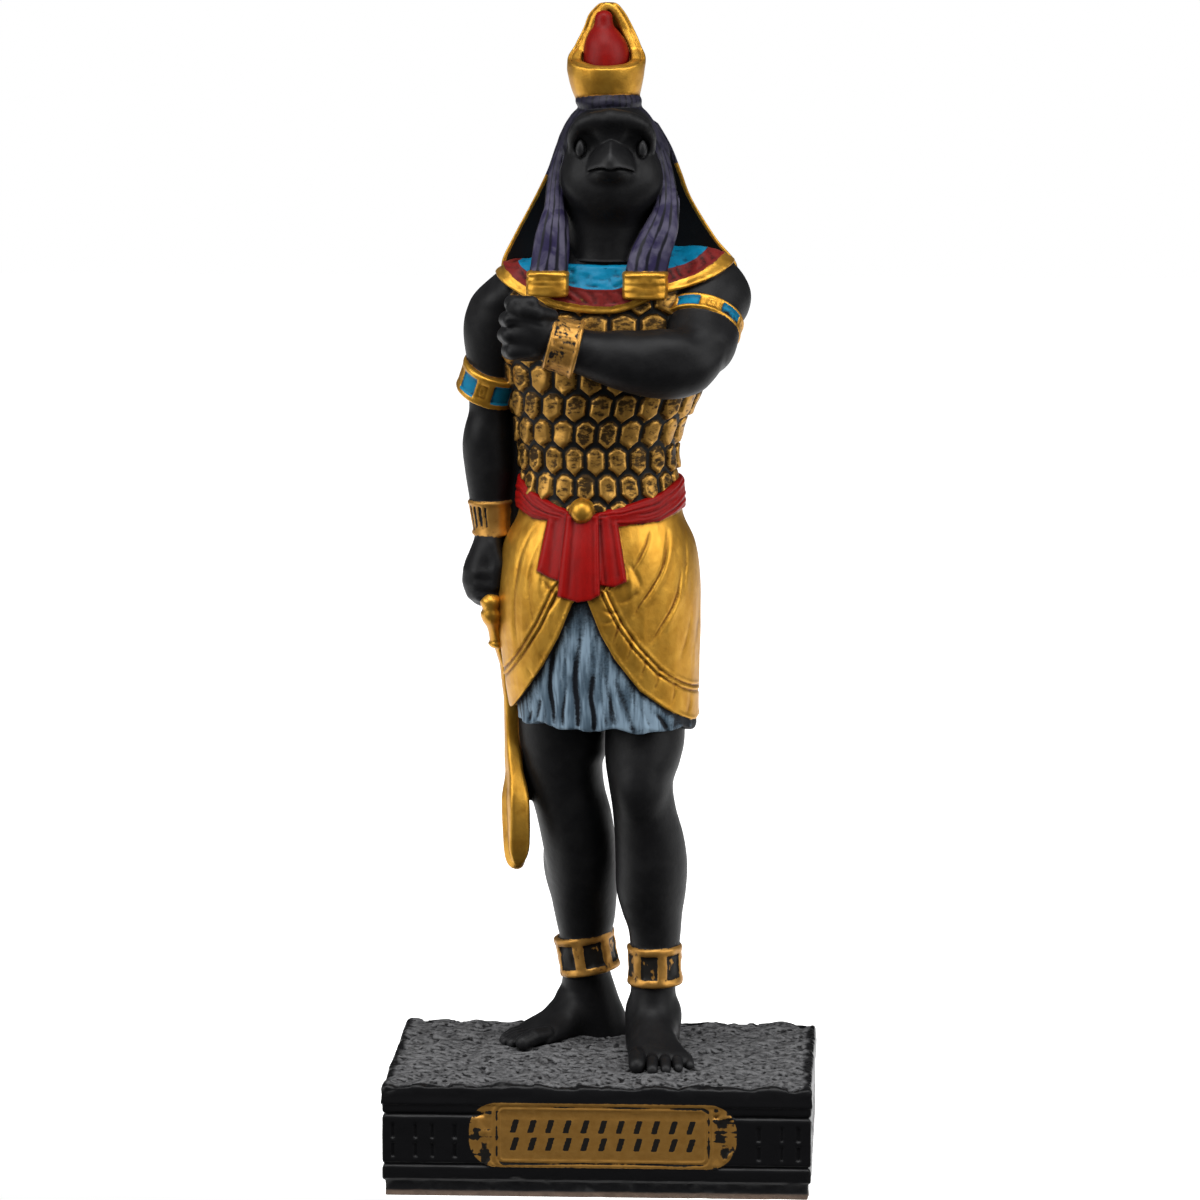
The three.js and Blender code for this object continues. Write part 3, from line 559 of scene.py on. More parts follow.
def skirt():
    cloth = Loft(SKIRT)

    def distance(x, y, z):
        p = cloth.section(x, y, z)
        d = cloth.side(p) - skirt_relief(p)
        angle = angle_of(p)
        hem = 319 + 1.6 * np.sin(7 * angle + 1) + 1.3 * np.sin(13 * angle) - 3 * np.sin(angle) - z
        return smooth_max(d, np.maximum(hem, z - 470), 3)

    return Shape((-92, -52, 308), (96, 100, 472), distance)


SASH = [
    (-4.2, 24.5, 508, 76.5, 58.5), (-4, 24.5, 518, 77.5, 60), (-4, 24.5, 535, 76.8, 59.5),
    (-4.2, 24.5, 550, 75.6, 58.4), (-4.4, 24.5, 556, 72, 55),
]
SASH_PROUD = 3.2
SASH_PLACES = (-81, -66, -48, -31, -9, 21, 54, 73)  # across the front
SASH_LOWS = (524, 518, 517.5, 517, 512, 513.5, 516.5, 524)
SASH_HIGHS = (556, 543, 535, 528, 526, 533, 543, 556)


def sash():
    """A twisted belt, which narrows and sinks towards the knot in front."""
    belt = Loft(SASH, rounding=4).grown(SASH_PROUD)

    def distance(x, y, z):
        ahead = y < 24.5
        low = np.where(ahead, np.interp(x, SASH_PLACES, SASH_LOWS), SASH_LOWS[0])
        high = np.where(ahead, np.interp(x, SASH_PLACES, SASH_HIGHS), SASH_HIGHS[0])
        place = (z - low) / (high - low)
        p = belt.section(x, y, 516 + 38 * place)
        angle = angle_of(p)
        turned = place + 0.22 * np.sin(1.6 * angle + 0.7) + 0.06 * noise(x, y, z, 16, 31)
        grooves = bell(turned - 0.3, 0.05) + bell(turned - 0.62, 0.05) + 0.6 * bell(turned - 0.86, 0.04)
        threads = 0.35 * np.sin(34 * turned + 2 * noise(x, y, z, (14, 14, 5), 32))
        swelling = 1.3 * np.sqrt(np.clip(1 - (2 * place - 1) ** 2, 0, 1)) - 0.8
        d = belt.side(p) - swelling + 0.8 * grooves - threads
        return smooth_max(d, np.maximum(low - z, z - high), 3)

    return Shape((-90, -46, 506), (82, 92, 560), distance)


def tails():
    """Three ends of the sash, which hang from the knot over the kilt."""
    def end(proud, points, folds):
        def distance(x, y, z):
            p = kilt_loft.section(x, y, z)
            d = kilt_loft.side(p) - proud - strokes(folds, x, z)
            edge = polygon_distance(points, x, z)
            return smooth_max(smooth_max(d, edge, 2.6), y - 10, 1)

        return Shape((-70, -62, 440), (32, 12, 530), distance)

    left = end(3.2, [(-50, 524), (-61, 471), (-50, 466), (-40, 463), (-28, 524)], [
        ([(-43, 522), (-49, 468)], 3.0, -0.8), ([(-35, 522), (-40, 466)], 3.4, 0.7),
        ([(-49, 515), (-57, 474)], 2.6, 0.9),
    ])
    right = end(3.2, [(-8, 525), (-1, 460), (12, 458), (24, 463), (14, 522)], [
        ([(-2, 520), (4, 462)], 2.4, -1.2), ([(4, 520), (11, 462)], 4.4, 0.8),
        ([(9, 520), (16, 470)], 2.2, -0.5), ([(12, 516), (21, 466)], 2.2, 0.9),
    ])
    middle = end(6.5, [(-33, 525), (-41, 449), (-33, 447), (-22, 444), (-10, 446), (-1, 451), (-3, 525)], [
        ([(-30, 522), (-37, 450)], 2.8, 0.9), ([(-26, 520), (-31, 449)], 2.6, -0.8),
        ([(-16, 520), (-17, 447)], 6.5, 0.9), ([(-8, 520), (-6, 449)], 2.4, -0.7),
        ([(-4, 516), (-3, 452)], 1.8, 0.7),
    ])
    return [Form("red", tail, 0.8) for tail in (left, right, middle)]


# Arms

def band(centre, axis, radii, length, paint, relief, proud=3.0, blend=0.6):
    """A band of metal round a limb. The relief is given the angle and the place along, from -1 to 1."""
    axis = unit(axis)
    rows = []
    for place in (-0.5, -0.2, 0.2, 0.5):
        rows.append((*(np.array(centre) + axis * place * length), radii[0] + proud, radii[1] + proud))
    shape = Loft(rows, along=axis, rounding=1.8)
    middle = float(np.dot(centre, axis))
    shape.relief = lambda p: relief(angle_of(p), (p.s - middle) / (length / 2), p)
    return Form(paint, shape, blend)


ARMLET_PANELS = 5


def panel_place(angle, count, turn):
    """Place within each of the panels round a band, from 0 to 1."""
    return np.mod(angle / (2 * math.pi) * count + turn, 1)


def armlet_relief(turn):
    def relief(angle, place, p):
        across = panel_place(angle, ARMLET_PANELS, turn)
        inner = ramp(np.abs(place), 0.62, 0.5)
        blue = ramp(np.abs(across - 0.3), 0.27, 0.245) * inner
        square = np.maximum(np.abs(across - 0.78) / 0.15, np.abs(place) / 0.62)
        seal = bell(square - 0.62, 0.16) + bell(square - 0.12, 0.14)
        rim = bell(np.abs(place) - 0.84, 0.2)
        return 0.7 * rim - 1.7 * blue - 0.9 * seal * inner + 0.15 * noise(p.x, p.y, p.z, 6, 41)

    return relief


def worn_relief(angle, place, p):
    """Two thin rims and a field scored from rim to rim."""
    rim = bell(np.abs(place) - 0.9, 0.12)
    groove = bell(np.abs(place) - 0.72, 0.07)
    scored = noise(angle * 14, place * 2, 0, (1, 1.5, 1), 43)
    return 0.9 * rim - 0.5 * groove + 0.5 * scored * (1 - rim) + 0.4 * noise(p.x, p.y, p.z, 4, 44)


CUFF_BARS = 20  # as many as would go all the way round
CUFF_MIDDLE, CUFF_HALF = 512.5, 16.5


def cuff_gaps(angle, place):
    """Above 0 between the upright bars on the outer half of the hanging wrist's cuff."""
    outer = ramp(np.cos(angle + 1.45), -0.05, 0.1)
    return outer * ramp(-np.cos(CUFF_BARS * angle), -0.1, 0.4) * ramp(np.abs(place), 0.74, 0.64)


def ribbed_relief(angle, place, p):
    """Thin rims, and upright bars on the outer half."""
    rim = bell(np.abs(place) - 0.88, 0.12)
    return 1.0 * rim - 1.8 * cuff_gaps(angle, place) + 0.3 * noise(p.x, p.y, p.z, 5, 45)


ANKLET_PANELS = 6
ANKLET_TURNS = (0.22, 0.68)


def anklet_holes(angle, place, turn):
    across = panel_place(angle, ANKLET_PANELS, turn)
    return ramp(np.abs(across - 0.5), 0.34, 0.29) * ramp(np.abs(place), 0.64, 0.56)


def anklet_relief(turn):
    def relief(angle, place, p):
        rim = bell(np.abs(place) - 0.85, 0.2)
        return 0.9 * rim - 2.2 * anklet_holes(angle, place, turn) + 0.7 * noise(p.x, p.y, p.z, 6, 46)

    return relief


ARMLET_TURN = 0.95
RAISED_ARMLET_TURN = 0.5


def hanging_arm():
    upper = joined(7, hanging_loft, ball((-118, 30, 690), (14, 20, 30)), ball((-116, 33, 590), (16, 20, 24)))
    hand = Loft([
        (-107.8, 33, 506, 15.6, 18.5), (-109.5, 32, 494, 14.6, 21), (-112.5, 30, 481, 16.2, 23.5),
        (-115, 29, 470, 18.3, 24.5), (-116.3, 28, 458, 19.2, 24.5), (-116.3, 28, 450, 19.2, 24),
        (-115.5, 28, 440, 16.6, 21), (-114.5, 28, 433, 12, 16), (-113.5, 28, 428, 7, 9),
    ], along=DOWN, power=2.2, rounding=4)
    thumb = finger([(-107, 15, 488), (-101, 9, 470), (-104, 6.5, 452)], [8, 7.6, 6.4])
    fingers = []
    for z, tuck in ((463, 0), (451.5, 0.5), (441, 3)):
        bends = [(-127 + tuck, 19, z + 1), (-120 + tuck, 9, z), (-106, 7.5, z - 2), (-98, 13, z - 3)]
        fingers.append(finger(bends, [7, 6.8, 6.4, 5.8]))
    cuff = Loft([
        (-109, 35, 529, 21, 22.8), (-109, 34.8, 520, 20.2, 22), (-107.8, 33.6, 504, 18.4, 20.6),
        (-107.2, 33, 496, 18.6, 21),
    ], along=DOWN, rounding=1.6)
    cuff.relief = lambda p: ribbed_relief(angle_of(p), (p.s + CUFF_MIDDLE) / CUFF_HALF, p)
    web = front_prism([(-95, 500), (-76, 500), (-74, 600), (-82, 690), (-96, 690), (-98, 600)], 28, 46)
    return [
        Form("skin", upper, 3), Form("skin", web, 3),
        Form("skin", joined(2.6, joined(4, hand, thumb), *fingers), 4),
        Form("cuff", cuff, 0.6),
        band((-108.3, 35.5, 643), (0.33, -0.35, 1), (26, 27.5), 30, "armlet", armlet_relief(ARMLET_TURN), 4),
    ]


def raised_arm():
    wrist = (-1, -0.06, 0.25)
    forearm = Loft(FOREARM, along=(-1, -0.1, 0.14), wide=UP, rounding=7)
    arm = joined(7, upper_arm_loft, joined(9, forearm, ball((66, -62, 684), (34, 22, 17))))
    palm = Loft([
        (-42, -67.5, 691.5, 19, 19), (-49, -68, 695, 21.5, 21), (-56, -69, 699, 26.5, 23.5),
        (-66, -69, 702, 29.5, 24.5), (-77, -68, 704, 28.5, 23), (-86, -67, 704, 23, 17),
    ], along=wrist, wide=UP, power=2.4, rounding=6)
    knuckles = []
    for x, z in ((-80, 727), (-85, 712), (-86.5, 697.5), (-82.5, 682.5)):
        bends = [(x + 18, -86, z + 2), (x + 3, -84, z + 1), (x - 1, -70, z), (x + 3, -54, z - 1)]
        knuckles.append(finger(bends, [6.6, 7.6, 8, 7]))
    thumb = finger([(-45, -77, 716), (-57, -86, 719.5), (-70, -87, 723), (-79, -83, 723)], [7, 8.4, 8.4, 7.4])
    crease = finger([(-84, -92, 712), (-66, -95, 711.5), (-50, -93, 707)], [1.2, 1.6, 1.2])
    cuff = Loft([
        (-20.3, -66.2, 683.6, 27, 25.5), (-23.5, -66.4, 684.4, 27.3, 25.8), (-27.5, -66.6, 685.4, 26, 24.8),
        (-41.5, -67.4, 689.2, 24.8, 24), (-45.5, -67.6, 690.2, 25.4, 24.8), (-48.4, -67.8, 690.9, 25, 24.6),
    ], along=wrist, wide=UP, rounding=1.8)
    middle = cuff.place.mean()
    cuff.relief = lambda p: worn_relief(angle_of(p), (p.s - middle) / 14.5, p)
    armlet = band((93.5, -15.5, 703.5), (-0.2, -0.7, -0.68), (33.5, 30), 17, "armlet",
                  armlet_relief(RAISED_ARMLET_TURN), 4)
    return [
        Form("skin", arm, 3),
        Form("skin", carved(joined(2.4, joined(3, palm, *knuckles), thumb), 2, crease), 3),
        Form("aged", cuff, 0.6), armlet,
    ]


# Collar

COLLAR_PROUD = 4
COLLAR_HALF_HEIGHT = 64
COLLAR_REACH = 62  # shares from the oval's middle to its rim, taken all round


def collar_place(x, z):
    """0 at the middle of the broad collar's oval, 1 at its rim. The raised shoulder lifts its side."""
    lift, spread = ramp(x, 8, 66), ramp(x, -20, 60)
    return np.hypot(x / (118 + 23 * spread), (z - 778 - 13 * lift) / COLLAR_HALF_HEIGHT)


COLLAR_TOP = 0.31
THROAT_X, THROAT_TOP = 6, 758.5  # between the lappets the collar ends level
TURQUOISE_EDGE = 0.65
MAROON_EDGE = 0.885


def turquoise_edge(x):
    return TURQUOISE_EDGE + 0.1 * ramp(np.abs(x - 5), 35, 75)


def collar():
    def distance(x, y, z):
        arms = smooth_min(hanging_loft(x, y, z), upper_arm_loft(x, y, z), 12)
        body = smooth_min(torso_loft(x, y, z), arms, 12)
        place = collar_place(x, z)

        def line(at, width):
            return bell((place - at) * COLLAR_HALF_HEIGHT, width)

        seams = line(turquoise_edge(x), 1.3) + line(MAROON_EDGE, 1.4)
        rim = line(0.965, 1.8)
        slanted = np.sin((x + 0.8 * z) * 0.5 + 4 * noise(x, y, z, 15, 51))
        slanted = slanted * ramp(place, 0.68, 0.72) * ramp(place, 0.87, 0.84)
        crumpled = noise(x, y, z, (7, 7, 3.5), 52) * ramp(place, 0.64, 0.6)
        between = ramp(np.abs(x - THROAT_X), 56, 40)
        throat = z - THROAT_TOP - 70 * (1 - between)
        piping = bell(throat + 2.4, 1.4)
        height = COLLAR_PROUD + 0.8 * seams + 0.6 * rim + 0.55 * slanted + 1.9 * crumpled + 1.0 * piping
        height = height + 0.3 * noise(x, y, z, 4, 53)
        oval = np.maximum(np.maximum(place - 1, COLLAR_TOP - place) * COLLAR_REACH, throat)
        return smooth_max(body - height, oval, 1.6)

    return [Form("collar", Shape((-122, -60, 708), (128, 96, 800), distance), 0.7)]


# Legs and feet

RIGHT_LEG = [
    (-40, 34, 360, 42, 48), (-40.9, 40, 303, 41.7, 42), (-39.9, 42, 285, 40, 41.5),
    (-40.6, 43, 272, 37.6, 41), (-37.6, 46, 250, 36.6, 40), (-31, 49, 225, 36.2, 39),
    (-26, 56, 193, 35.2, 37.5), (-23, 66, 161, 33.6, 37), (-22.2, 75, 133, 31, 33),
    (-21.6, 81, 112, 28, 29), (-22.2, 88, 78, 21.5, 25), (-18.5, 93, 40, 27, 27),
    (-14.5, 97, 12, 33, 30), (-14.5, 97, -4, 33, 30),
]
LEFT_LEG = [
    (38, 24, 360, 36, 38), (38.6, 17, 308, 38, 40.5), (36.8, 11, 283, 35.6, 40), (35.2, 7, 262, 30.8, 36),
    (38.2, 9, 238, 30.3, 34), (42.7, 16, 210, 32.9, 36), (44.8, 21, 182, 34.3, 38), (44.5, 24, 155, 33.2, 36),
    (45.6, 26, 133, 28.8, 31), (48, 27, 110, 24.5, 27), (46.5, 27, 63, 21.5, 24), (46, 23, 25, 23, 30),
    (46, 22, -4, 23, 34),
]


def toe(start, end, radius):
    """One toe: it rises a little at the joint and turns down at the tip."""
    (x0, y0), (x1, y1) = start, end
    rise = radius * 0.85
    joint = (x0 + 0.55 * (x1 - x0), y0 + 0.55 * (y1 - y0), rise + 2.4)
    return finger([(x0, y0, rise + 3), joint, (x1, y1, rise - 1.2)], [radius * 0.95, radius, radius * 0.92])


def feet():
    left = Loft([
        (44, 50, 6, 12, 10), (45, 36, 12, 20, 18), (47, -4, 15, 22.5, 20), (50, -24, 11, 25.5, 17),
        (54, -40, 7.5, 29, 12.5), (56.5, -52, 5, 29.5, 9.5), (58, -58, 3, 26, 7),
    ], along=AHEAD, rounding=4)
    left_toes = [
        toe((34, -46), (35, -74), 8.4), toe((48.5, -50), (50, -80.5), 5.7),
        toe((60.5, -50), (62.5, -77.5), 5.3), toe((71, -46), (74, -70), 5),
        toe((80.5, -38), (84.5, -57), 4.8),
    ]
    right = Loft([
        (-4, 112, 6, 11, 10), (-13, 103, 13, 21, 20), (-38, 80, 17, 22.5, 24), (-52, 67, 11, 25, 17),
        (-65, 55, 7.5, 28, 12.5), (-72, 48, 5, 27.5, 9.5), (-76, 45, 3, 23, 7),
    ], along=(-0.755, -0.656, 0), wide=(0.656, -0.755, 0), rounding=4)
    right_toes = [
        toe((-57, 35), (-78, 17), 8.2), toe((-68, 42), (-89, 23), 5.7), toe((-74, 50), (-95.5, 31), 5.3),
        toe((-78, 59), (-98, 42), 5), toe((-81, 67), (-97.5, 54), 4.8),
    ]
    return left, left_toes, right, right_toes


def legs():
    left, left_toes, right, right_toes = feet()
    right_leg = joined(6, Loft(RIGHT_LEG, along=DOWN), ball((-40, 78, 176), (22, 26, 44)))
    left_leg = joined(6, Loft(LEFT_LEG, along=DOWN), ball((45, 38, 182), (26, 26, 44)))
    left_leg = joined(14, left_leg, ball((35, -18, 256), (18, 12, 19)))
    ankles = [ball((-41, 90, 36), (7, 8, 8)), ball((65, 28, 34), (6, 8, 9)), ball((28, 30, 36), (5, 8, 8))]
    return [
        Form("skin", joined(9, right_leg, right, ankles[0]), 3),
        Form("skin", joined(15, left_leg, left, *ankles[1:]), 1),
        *(Form("skin", each, 1.2) for each in left_toes + right_toes),
        band((-20.2, 87, 81), (-0.18, 0, 1), (24.5, 26), 38, "aged", anklet_relief(ANKLET_TURNS[0]), 4.3),
        band((48, 27, 82.5), (-0.02, 0, 1), (22, 24.5), 38, "aged", anklet_relief(ANKLET_TURNS[1]), 3.8),
    ]


# Sword

BLADE = [
    (-8, 408), (8, 408), (8, 370), (6, 330), (7, 292), (4, 268), (-1, 246), (-1, 222), (-3, 202), (-8, 184),
    (-15, 175), (-22, 180), (-28, 198), (-30, 224), (-27, 250), (-17, 274), (-8, 300), (-7, 330), (-7, 370),
]
BLADE_PLACE = (-90.3, 36)
BLADE_TURN = 0.34
BLADE_HALF_THICKNESS = 7
BLADE_HEIGHTS = (305, 339, 370, 381, 394, 411)
BLADE_SWAYS = (-1.2, -0.4, 2.7, 5.8, 9.7, 10.5)  # how far it leans away from the leg at these heights


def sword():
    outline = curve_through(BLADE + BLADE[:1], 4)[:-1]

    def blade(x, y, z):
        out = np.interp(z, BLADE_HEIGHTS, BLADE_SWAYS).astype(np.float32)
        px, py = x - BLADE_PLACE[0] + out, y - BLADE_PLACE[1] + 0.3 * out
        lx = px * math.cos(BLADE_TURN) + py * math.sin(BLADE_TURN)
        ly = -px * math.sin(BLADE_TURN) + py * math.cos(BLADE_TURN)
        edge = polygon_distance(outline, ly, z)
        low = ramp(z, 270, 240)

        def line(at, width):
            return bell(ly + at - 0.14 * (z - 220), width)

        ridge = low * (2.0 * line(7, 3.2) - 1.6 * line(-2, 2.6) - 1.4 * line(16, 2.6))
        point = np.sqrt(np.clip(1 - (np.maximum(201 - z, 0) / 29) ** 2, 0.1, 1))
        thickness = (BLADE_HALF_THICKNESS + 3 * low) * point
        flat = np.abs(lx) - thickness - ridge - 0.35 * noise(x, y, z, (5, 5, 14), 61)
        return smooth_max(flat, edge - 0.8 * low, 5)

    guard = Loft([
        (-101.5, 28, 388, 7, 10), (-102.8, 27, 392, 8.5, 11.5), (-103, 26, 396, 6.8, 10),
        (-104.5, 20, 408, 7, 12), (-106, 14, 416, 9.5, 14), (-106.8, 11, 423, 10.5, 13.5),
        (-107, 10, 428, 8.4, 12), (-107.2, 9.5, 434, 10.4, 13), (-107.2, 9.5, 438, 10, 12.5),
        (-107.2, 11, 443, 7, 10),
    ], rounding=2)
    web = front_prism([
        (-92, 332), (-60, 340), (-45, 300), (-48, 225), (-58, 236), (-66, 241), (-73, 239), (-80, 230),
        (-88, 250),
    ], 33, 44, 3)
    return [
        Form("skin", web, 5),
        Form("gold", Shape((-124, -2, 168), (-72, 54, 414), blade), 1.0),
        Form("gold", guard, 0.8),
    ]


# Head

FACE_X = 9  # the face's middle


def mirrored(points):
    return [(2 * FACE_X - x, *rest) for x, *rest in points]


def head():
    skull = Loft([
        (5, 22, 742, 56, 49), (5, 20, 758, 49, 49), (5, 17, 772, 42.5, 45.5), (5, 14.5, 787, 41, 44),
        (5.2, 12.5, 800, 42, 44), (6.7, 9, 817, 45, 45.5), (7.6, 7, 829, 47.6, 47), (6.9, 5, 845, 45.8, 46.5),
        (6.9, 4, 862, 42.5, 45), (6.9, 4, 876, 40.5, 43), (6.5, 6, 886, 36, 38), (5.5, 9, 896, 28, 31),
        (5.5, 11, 902, 18, 22),
    ], rounding=8)
    brow_line = curve_through([
        (FACE_X - 36, -19, 868, 4), (FACE_X - 36, -26, 879, 5.2), (FACE_X - 29.5, -34, 889, 6.6),
        (FACE_X - 16, -39, 895, 7.6), (FACE_X, -41, 896, 7.8),
    ], 3)
    brows = []
    for line in (brow_line, mirrored(brow_line)):
        brows.append(finger([row[:3] for row in line], [row[3] for row in line]))
    forehead = ball((FACE_X, -8, 888), (35, 36, 19))
    sockets = [ball((FACE_X + s * 21.5, -46, 869), (11.5, 16, 13.5)) for s in (-1, 1)]
    bridge = ball((FACE_X, -58, 886), (18, 11.5, 6))
    eyes = [ball((FACE_X + s * 29, -32, 867.5), (5, 5.4, 8.6)) for s in (-1, 1)]
    cheeks = [ball((FACE_X + s * 23, -15, 838), (23, 23, 25)) for s in (-1, 1)]
    chin = ball((FACE_X, -20, 829), (33, 28, 27))
    lower = Loft([(FACE_X, *row) for row in (
        (-20, 844, 25, 14), (-40, 845, 22, 12), (-50, 847, 16, 9), (-57, 848.5, 8, 5.5),
    )], along=AHEAD, rounding=4)
    upper = Loft([(FACE_X, *row) for row in (
        (-20, 849, 25, 31), (-34, 849, 24, 29.5), (-45, 849, 21.5, 26.5), (-53, 849.5, 17, 21.5),
        (-59, 850, 11.5, 15.5), (-62, 850, 7.5, 10.5), (-64, 850, 4, 6),
    )], along=AHEAD, rounding=3, power=1.42)
    eye_rings = smooth_lines((1.0, -1.5, [
        (x, 859), (x - 3.8, 862), (x - 4.8, 868), (x - 3.2, 874), (x, 877), (x + 3.2, 873.5), (x + 4.6, 868),
        (x + 3.6, 862), (x, 859),
    ]) for x in (FACE_X - 29, FACE_X + 29))
    face = joined(12, skull, forehead, chin, *cheeks)
    face = joined(8, face, *brows)
    face = carved(face, 6, *sockets, bridge)
    face = joined(2, face, *eyes)
    face = joined(6, face, lower)

    def distance(x, y, z):
        """The tent-shaped upper beak closes over a slightly frowning mouth."""
        across = np.abs(x - FACE_X)
        mouth = 852.5 - 1.6 * bell(across, 4.5) - 5 * (across / 21) ** 3
        beak = smooth_max(upper(x, y, z), mouth - z, 2)
        groove = 2.2 * bell(z - mouth + 1, 1.2) * ramp(across, 23, 18) * ramp(-y, 18, 30)
        return smooth_min(face(x, y, z) + groove, beak, 1.6) - ramp(-y, 8, 18) * strokes(eye_rings, x, z)

    return [Form("skin", Shape((-48, -74, 768), (62, 62, 914), distance), 4)]


# Headcloth

LAPPET_STRANDS, CAP_STRANDS, CAPE_LOCKS = 4, 16, 15


def strands(place, count):
    """Rounded locks side by side: place runs from -1 to 1 across them."""
    return np.abs(np.sin(math.pi * count * (place + 1) / 2)) ** 0.6 - 0.55


CAPE = [
    (9, 71, 688, 98, 30), (11, 65, 730, 109, 41), (11.5, 60, 752, 111, 46), (7.5, 56, 777, 95.5, 46),
    (6.3, 48, 814, 74.4, 47), (8, 38, 841, 62.8, 48), (8, 26, 866, 53.6, 46), (6.9, 18, 889, 42, 38),
]
CAPE_LOW, CAPE_HIGH = CAPE[0][2], CAPE[-1][2]


def cape():
    """The cloth behind the shoulders: hollow in front, in long locks at the back."""
    skin = Loft(CAPE)

    def distance(x, y, z):
        p = skin.section(x, y, z)
        angle = angle_of(p)
        height = (z - CAPE_LOW) / (CAPE_HIGH - CAPE_LOW)
        low = np.clip(2.4 * (1 - height), 0, 1)
        back = ramp(-np.cos(angle), -0.05, 0.3)
        rim = ramp(-np.cos(angle), 0.16, 0.1)
        locks = 2.0 * strands(np.sin(angle), CAPE_LOCKS) * back * ramp(z, CAPE_LOW + 10, CAPE_LOW + 14)
        hem = 0.9 * ramp(z, CAPE_LOW + 12, CAPE_LOW + 9)
        d = skin.side(p) - locks - hem - 0.8 * rim
        depth = p.b - (30 + 16 * height + 12 * low)
        bow = np.sqrt(np.clip(1 - (p.u / p.a) ** 2, 0, 1))
        front = np.interp(z, skin.place, skin.fine[:, 1]) - depth * bow - p.y
        d = smooth_max(d, front * 0.85, 3)
        return smooth_max(d, np.maximum(CAPE_LOW - z, z - CAPE_HIGH), 3)

    return Shape((-106, 0, 684), (128, 114, 892), distance)


def lappet_place(p):
    """-1 to 1 across a lappet, for strands that wave a little."""
    return p.u / p.a + 0.16 * noise(p.x, 0, p.z, (26, 1, 34), 74)


def lock_relief(p):
    """Rounded strands side by side down the front of a lappet."""
    locks = 2.3 * strands(lappet_place(p), LAPPET_STRANDS) * ramp(p.v, -6, 4)
    return locks + 0.3 * noise(p.x, p.y, p.z, (3, 3, 20), 73)


def cap_relief(p):
    """Strands on the sides and the back of the cap, which end below the crown."""
    angle = angle_of(p)
    return 1.2 * strands(np.sin(angle / 2), CAP_STRANDS) * ramp(p.z, 910, 896) * ramp(np.abs(angle), 1.0, 1.7)


CAP = Loft([
    (6, 44, 770, 56, 34), (7, 30, 832, 54, 44), (8, 22, 864, 51.5, 47), (6.1, 15, 882, 45, 45.5),
    (5.8, 12, 894, 37.8, 40), (5.9, 11, 899, 33.8, 36.5), (5.9, 10, 905, 28.3, 31), (4, 9, 916, 25.5, 27),
], rounding=5, relief=cap_relief)
LAPPETS = [Loft(rows, along=DOWN, power=2.6, rounding=5, relief=lock_relief) for rows in (
    [(-35, 26, 880, 3, 9), (-38.5, 17, 869, 4.5, 11.5), (-42.5, 6, 854, 6.2, 13), (-44.5, -4, 832, 8.5, 13),
     (-45, -12, 812, 10, 14), (-47, -20, 790, 15, 14), (-48.5, -26, 768, 17, 13), (-50, -30, 750, 18, 12),
     (-50, -31, 742, 18, 12)],
    [(46, 26, 880, 3, 9), (50.5, 17, 869, 4.5, 11.5), (55.5, 5, 854, 6.2, 13), (59, -5, 832, 9, 13),
     (59, -14, 812, 12, 14), (53.5, -21, 791, 17, 14), (45, -27, 768, 19.5, 13), (41, -31, 750, 20, 12),
     (40.5, -31, 742, 20, 12)],
)]


def headcloth():
    ends = []
    for rows in (
        [(-51.5, -33, 730, 19, 14), (-51, -32.5, 732, 20, 15), (-50.5, -31, 751, 19.5, 14.5),
         (-50.5, -31, 754, 18, 13)],
        [(40.5, -35, 728, 19.5, 14), (40.5, -34, 730, 21, 15), (40.5, -32, 751, 21, 14.5),
         (40.5, -32, 754, 19.5, 13)],
    ):
        ends.append(Form("gold", Loft(rows, power=3.4, rounding=3, relief=end_relief), 0.6))
    brow_band = ball((4.5, 4, 909.5), (31, 31, 13))
    return [Form("purple", joined(5, CAP, brow_band, *LAPPETS), 1.5), Form("purple", cape(), 3), *ends]


def end_relief(p):
    """Fine scored lines across the metal end of a lappet."""
    scored = noise(p.x, p.y, p.z, (14, 14, 2.2), 71)
    sides, top = bell(np.abs(p.u) - p.a + 2.5, 1.6), bell(p.z - 751, 1.6)
    return 0.5 * scored + 0.5 * sides + 0.6 * top - 0.3 * noise(p.x, p.y, p.z, 5, 72)


# Crown

